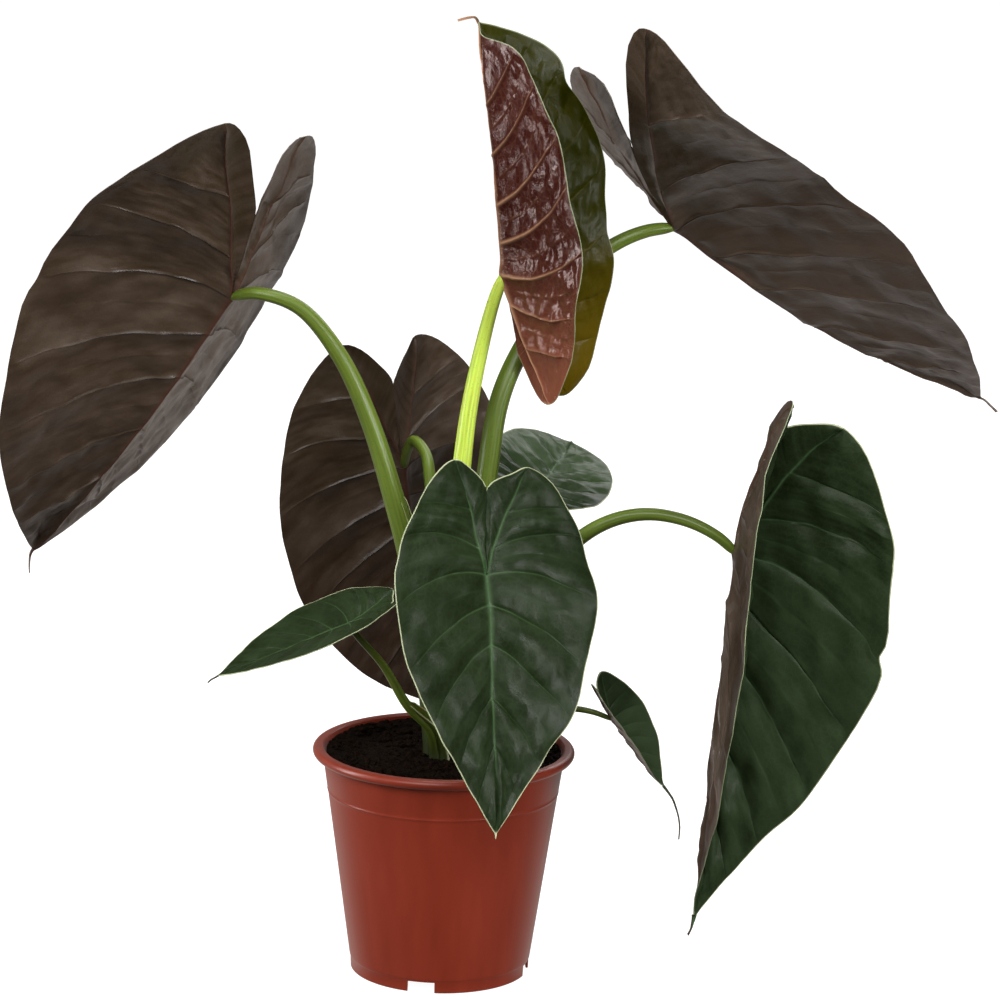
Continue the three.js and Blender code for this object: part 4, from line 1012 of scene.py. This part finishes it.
class ALOCASIA_OT_leaves(bpy.types.Operator):
    """Build the nine leaf blades"""

    bl_idname = "alocasia.leaves"
    bl_label = "Build Leaves"
    bl_options = {"REGISTER", "UNDO"}

    def execute(self, context):
        for place, blade in BLADES.items():
            bm, fields, flat = blade_mesh(blade, context.scene.alocasia_sizes)
            right, forward = flat[:, 0] > 0, flat[:, 1] / blade["length"]
            pale = np.where(right, blade["pale"][1], blade["pale"][0]) * np.clip(0.4 + 2 * forward, 0.2, 1)
            slot, upper, under, rim = "leaf", "waxy_leaf_upper", "leathery_leaf_underside", "pale_leaf_margin"
            if blade["young"]:
                slot, upper, under = "young_leaf", "glossy_young_upper", "glossy_young_underside"
                pale = np.clip(0.18 - 1.6 * forward, 0, 1)
            elif place in SEEN_FROM_BELOW:
                rim = "dark_leaf_margin"
            shown = {key: fields[key] for key in ("vein", "midrib", "faint", "edge")}
            shown["grain"] = fields["grain"] * MM
            shown["flat"] = np.column_stack([flat * MM, np.zeros(len(flat))])
            shown["pale"] = pale
            finish_piece(f"leaf_{place}", bm, f"blade_{place}", (upper, under, rim), 60, shown)
        return {"FINISHED"}


class ALOCASIA_OT_stalks(bpy.types.Operator):
    """Build the nine stalks"""

    bl_idname = "alocasia.stalks"
    bl_label = "Build Stalks"
    bl_options = {"REGISTER", "UNDO"}

    def execute(self, context):
        for place, stalk in STALKS.items():
            bm, fields = stalk_mesh(stalk, BLADES[place])
            slot, skin = "stalk", "smooth_stalk_skin"
            if BLADES[place]["young"]:
                slot, skin = "young_stalk", "fresh_stalk_skin"
            finish_piece(f"stem_{place}", bm, f"stalk_{place}", (skin,), 50, fields)
        return {"FINISHED"}


def wall_radius(z):
    """The outside of the pot's wall at a height."""
    return WALL_FOOT + (WALL_TOP - WALL_FOOT) * (z - SKIRT) / (POT_TOP - SKIRT)


def pot_profile():
    """The pot's section from the middle of its foot round to the middle of its floor."""
    shoulder = POT_TOP - 32.0
    under_bead = POT_TOP - 8.0
    # Points on the wall: a height, how far out from the wall there, and how far above that height.
    outer = (
        (SKIRT, -0.1, -0.3), (10.6, 0, 0), (12.5, 0, 0), (70, 0, 0), (shoulder - 2.5, 0, 0),
        (shoulder - 0.9, 0.02, 0), (shoulder, 0.3, -0.35), (shoulder, 0.38, 0.1), (shoulder, 0.3, 0.6),
        (shoulder, 0.2, 1.2), (shoulder + 3, 0.2, 0), (under_bead - 3, 0.2, 0), (under_bead, 0.25, -0.9),
        (under_bead, 0.9, 0.15),
    )
    inner = (
        (POT_TOP, -0.2, -0.15), (POT_TOP, -1.3, -1), (POT_TOP - 4, -WALL, 0), (15, -WALL, 0),
        (12, -WALL - 1.5, 0.2), (9, -WALL - 4, 2.2),
    )
    outer, inner = ([(wall_radius(z) + out, z + up) for z, out, up in line] for line in (outer, inner))
    foot = [
        (0, 0), (29.5, 0), (30.5, 0.6), (34, 9), (61, 9), (62.2, 8.2), (63.2, 0.4), (63.6, 0), (64.6, 0),
        (65, 0.4), (65.35, 8.6), (65.7, 9.2),
    ]
    turns = [math.radians(-78 + 168 * i / 14) for i in range(15)]
    bead = [(91.5 + BEAD * math.cos(a), POT_TOP - BEAD + BEAD * math.sin(a)) for a in turns]
    return [*foot, *outer, *bead, *inner, (33, 11.2), (28, 2.2), (0, 2.2)]


def turned(profile, steps, merged):
    """The profile spun round the pot's axis, with points closer than a distance merged."""
    bm = bmesh.new()
    verts = [bm.verts.new((r, 0, z)) for r, z in profile]
    edges = [bm.edges.new(pair) for pair in zip(verts, verts[1:])]
    spun = dict(cent=(0, 0, 0), axis=(0, 0, 1), angle=2 * math.pi, steps=steps, use_merge=True)
    bmesh.ops.spin(bm, geom=verts + edges, **spun)
    bmesh.ops.remove_doubles(bm, verts=bm.verts, dist=merged)
    bmesh.ops.recalc_face_normals(bm, faces=bm.faces)
    return bm


class ALOCASIA_OT_pot(bpy.types.Operator):
    """Build the moulded nursery pot"""

    bl_idname = "alocasia.pot"
    bl_label = "Build Pot"
    bl_options = {"REGISTER", "UNDO"}

    def execute(self, context):
        bm = turned(pot_profile(), 160, 0.002)
        piece = finish_piece("nursery_pot", bm, "pot", ("moulded_polypropylene",), None)

        # The four drainage notches in the skirt are cut through its wall.
        cutter = bmesh.new()
        for angle in NOTCHES:
            turn = Matrix.Rotation(math.radians(angle), 4, "Z")
            box = Matrix.Translation((67, 0, 0)) @ Matrix.Diagonal((12, 20, 16, 1))
            bmesh.ops.create_cube(cutter, size=1, matrix=turn @ box)
        notches = new_object("notches", cutter)
        cut = piece.modifiers.new("notches", "BOOLEAN")
        cut.operation, cut.solver, cut.object = "DIFFERENCE", "EXACT", notches
        context.view_layer.update()
        shaped = piece.evaluated_get(context.evaluated_depsgraph_get())
        piece.data = bpy.data.meshes.new_from_object(shaped)
        piece.modifiers.clear()
        bpy.data.objects.remove(notches)
        smooth(piece.data, 32)
        return {"FINISHED"}


def soil_rise(reach):
    """How far the soil is banked up against the pot's wall, at a distance from the middle."""
    t = min(1.0, max(0.0, (reach - 62) / 22))
    return SOIL_BANK * t * t * (3 - 2 * t)


class ALOCASIA_OT_soil(bpy.types.Operator):
    """Build the potting soil with its crumbs and fibres"""

    bl_idname = "alocasia.soil"
    bl_label = "Build Soil"
    bl_options = {"REGISTER", "UNDO"}

    def execute(self, context):
        sizes = context.scene.alocasia_sizes
        relief = sizes.soil_relief / MM
        inner = wall_radius(SOIL_TOP - 3) - WALL - 0.3
        profile = [
            (0, 11.6), (wall_radius(15) - 7.5, 11.6), (wall_radius(17) - 2.2, 17),
            (inner - 0.3, SOIL_TOP - 2.5), *((inner * k / 60, SOIL_TOP) for k in range(60, -1, -1)),
        ]
        bm = turned(profile, 220, 0.02)
        for vert in bm.verts:
            if vert.co.z < SOIL_TOP - 0.01:
                continue
            lump = noise.fractal(vert.co / LUMP_WIDTH, 1.0, 2.0, 3)
            grit = noise.fractal(vert.co / GRIT_WIDTH + Vector((40, 0, 0)), 0.7, 2.1, 3)
            vert.co.z += relief * (0.5 * lump + 0.45 * grit) + soil_rise(vert.co.xy.length)

        # Vector noise starts from the clock unless it is seeded.
        noise.seed_set(7)
        rng = np.random.default_rng(7)
        feet = [(*stalk["foot"], stalk["radii"][0]) for stalk in STALKS.values()]
        for number in range(sizes.crumb_count):
            angle, reach = rng.uniform(0, 2 * math.pi), inner * math.sqrt(rng.uniform(0, 1))
            x, y = 0.97 * reach * math.cos(angle), 0.97 * reach * math.sin(angle)
            if any(math.hypot(x - a, y - b) < r + 1 for a, b, r in feet):
                continue
            size = rng.uniform(*(SMALL_CRUMBS if number % 9 else LARGE_CRUMBS))
            stretch = (size, size * rng.uniform(0.5, 1.0), size * rng.uniform(0.4, 0.8))
            # One in four is a fibre.
            if number % 4 == 0:
                stretch = (size * 2.4, size * 0.28, size * 0.22)
            turn = Matrix.Rotation(rng.uniform(0, 6.28), 4, "Z")
            turn = turn @ Matrix.Rotation(rng.uniform(-0.6, 0.6), 4, "X")
            z = SOIL_TOP + relief * 0.5 * noise.fractal(Vector((x, y, SOIL_TOP)) / LUMP_WIDTH, 1.0, 2.0, 3)
            z += stretch[2] * 0.2 + soil_rise(reach)
            place = Matrix.Translation((x, y, z)) @ turn @ Matrix.Diagonal((*stretch, 1))
            made = bmesh.ops.create_icosphere(bm, subdivisions=1, radius=1, matrix=place)
            for vert in made["verts"]:
                vert.co += 0.25 * size * noise.noise_vector(vert.co * 1.7)
        finish_piece("potting_soil", bm, "soil", ("moist_potting_soil",), None)
        return {"FINISHED"}


# ---------------------------------------------------------------- stage


class ALOCASIA_OT_stage(bpy.types.Operator):
    """Set up the pale floor, the soft studio lights and the camera"""

    bl_idname = "alocasia.stage"
    bl_label = "Set Up Stage"
    bl_options = {"REGISTER", "UNDO"}

    def execute(self, context):
        scene = context.scene
        bm = bmesh.new()
        bmesh.ops.create_grid(bm, x_segments=1, y_segments=1, size=FLOOR_SIZE_M / 2)
        floor = new_object("studio_floor", bm, 1.0)
        floor.data.materials.append(finish("white_acrylic_floor"))
        floor.location = (0, 0, -0.0005)
        # The floor is seen, but throws no light up: the photograph's leaves stay deep from below.
        floor.visible_diffuse = floor.visible_glossy = False

        # The leaves' undersides mirror a pale wall behind and below the plant. The room is dim elsewhere.
        scene.world = bpy.data.worlds.new("studio")
        scene.world.use_nodes = True
        scene.world.node_tree.nodes.clear()
        add = partial(add_node, scene.world.node_tree)
        direction = add("SeparateXYZ", [add("TexCoord").outputs["Generated"]])
        behind = add("MapRange", [direction.outputs["Y"], 0.2, 0.7, 0.0, 0.62])
        below = add("MapRange", [direction.outputs["Z"], -0.42, -0.2, 1.0, 0.08])
        strength = add("Math", [behind, below, 0.12], operation="MULTIPLY_ADD")
        fill = add("Background", [linear("fff3eb"), strength])
        seen = add("Background", [linear("ffffff"), 1.0])
        path = add("LightPath")
        add("OutputWorld", [add("MixShader", [path.outputs["Is Camera Ray"], fill, seen])])

        for name, (place, width, height, power) in SOFTBOXES.items():
            light = bpy.data.lights.new(name, "AREA")
            light.shape = "RECTANGLE"
            light.size, light.size_y, light.energy = width, height, power
            lamp = bpy.data.objects.new(name, light)
            lamp.location = place
            aim = Vector((0.03, 0, 0.4)) - lamp.location
            lamp.rotation_euler = aim.to_track_quat("-Z", "Y").to_euler()
            lamp.visible_camera = False
            scene.collection.objects.link(lamp)

        pitch, roll = math.radians(CAMERA_PITCH), math.radians(CAMERA_ROLL)
        look = Vector((0, math.cos(pitch), -math.sin(pitch)))
        side, up = Vector((1, 0, 0)), Vector((0, math.sin(pitch), math.cos(pitch)))
        right = side * math.cos(roll) + up * math.sin(roll)
        over = -side * math.sin(roll) + up * math.cos(roll)
        data = bpy.data.cameras.new("camera")
        data.lens, data.sensor_width = 162.0, 36.0
        data.clip_start, data.clip_end = 0.1, 100.0
        camera = bpy.data.objects.new("camera", data)
        turned_to = Matrix((right, over, -look)).transposed().to_4x4()
        camera.matrix_world = Matrix.Translation(Vector(CAMERA_AIM) - look * CAMERA_DISTANCE) @ turned_to
        scene.collection.objects.link(camera)
        scene.camera = camera
        scene.view_settings.view_transform = "Standard"
        return {"FINISHED"}


class ALOCASIA_PT_panel(bpy.types.Panel):
    """The sidebar panel"""

    bl_idname = "ALOCASIA_PT_panel"
    bl_label = "Potted Alocasia"
    bl_space_type = "VIEW_3D"
    bl_region_type = "UI"
    bl_category = "Alocasia"

    def draw(self, context):
        layout = self.layout
        for operator in OPERATORS:
            layout.operator(operator.bl_idname)
        for group in (context.scene.alocasia_sizes, context.scene.alocasia_colours):
            box = layout.box()
            for key in group.bl_rna.properties.keys():
                if key not in ("rna_type", "name"):
                    box.prop(group, key)


OPERATORS = (ALOCASIA_OT_pot, ALOCASIA_OT_soil, ALOCASIA_OT_stalks, ALOCASIA_OT_leaves, ALOCASIA_OT_stage)
CLASSES = (AlocasiaSizes, AlocasiaColours, *OPERATORS, ALOCASIA_PT_panel)


def register():
    for cls in CLASSES:
        bpy.utils.register_class(cls)
    bpy.types.Scene.alocasia_sizes = bpy.props.PointerProperty(type=AlocasiaSizes)
    bpy.types.Scene.alocasia_colours = bpy.props.PointerProperty(type=AlocasiaColours)


def unregister():
    del bpy.types.Scene.alocasia_colours
    del bpy.types.Scene.alocasia_sizes
    for cls in reversed(CLASSES):
        bpy.utils.unregister_class(cls)


def main():
    register()
    bpy.ops.alocasia.pot()
    bpy.ops.alocasia.soil()
    bpy.ops.alocasia.stalks()
    bpy.ops.alocasia.leaves()
    bpy.ops.alocasia.stage()
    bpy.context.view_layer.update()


if __name__ == "__main__":
    main()
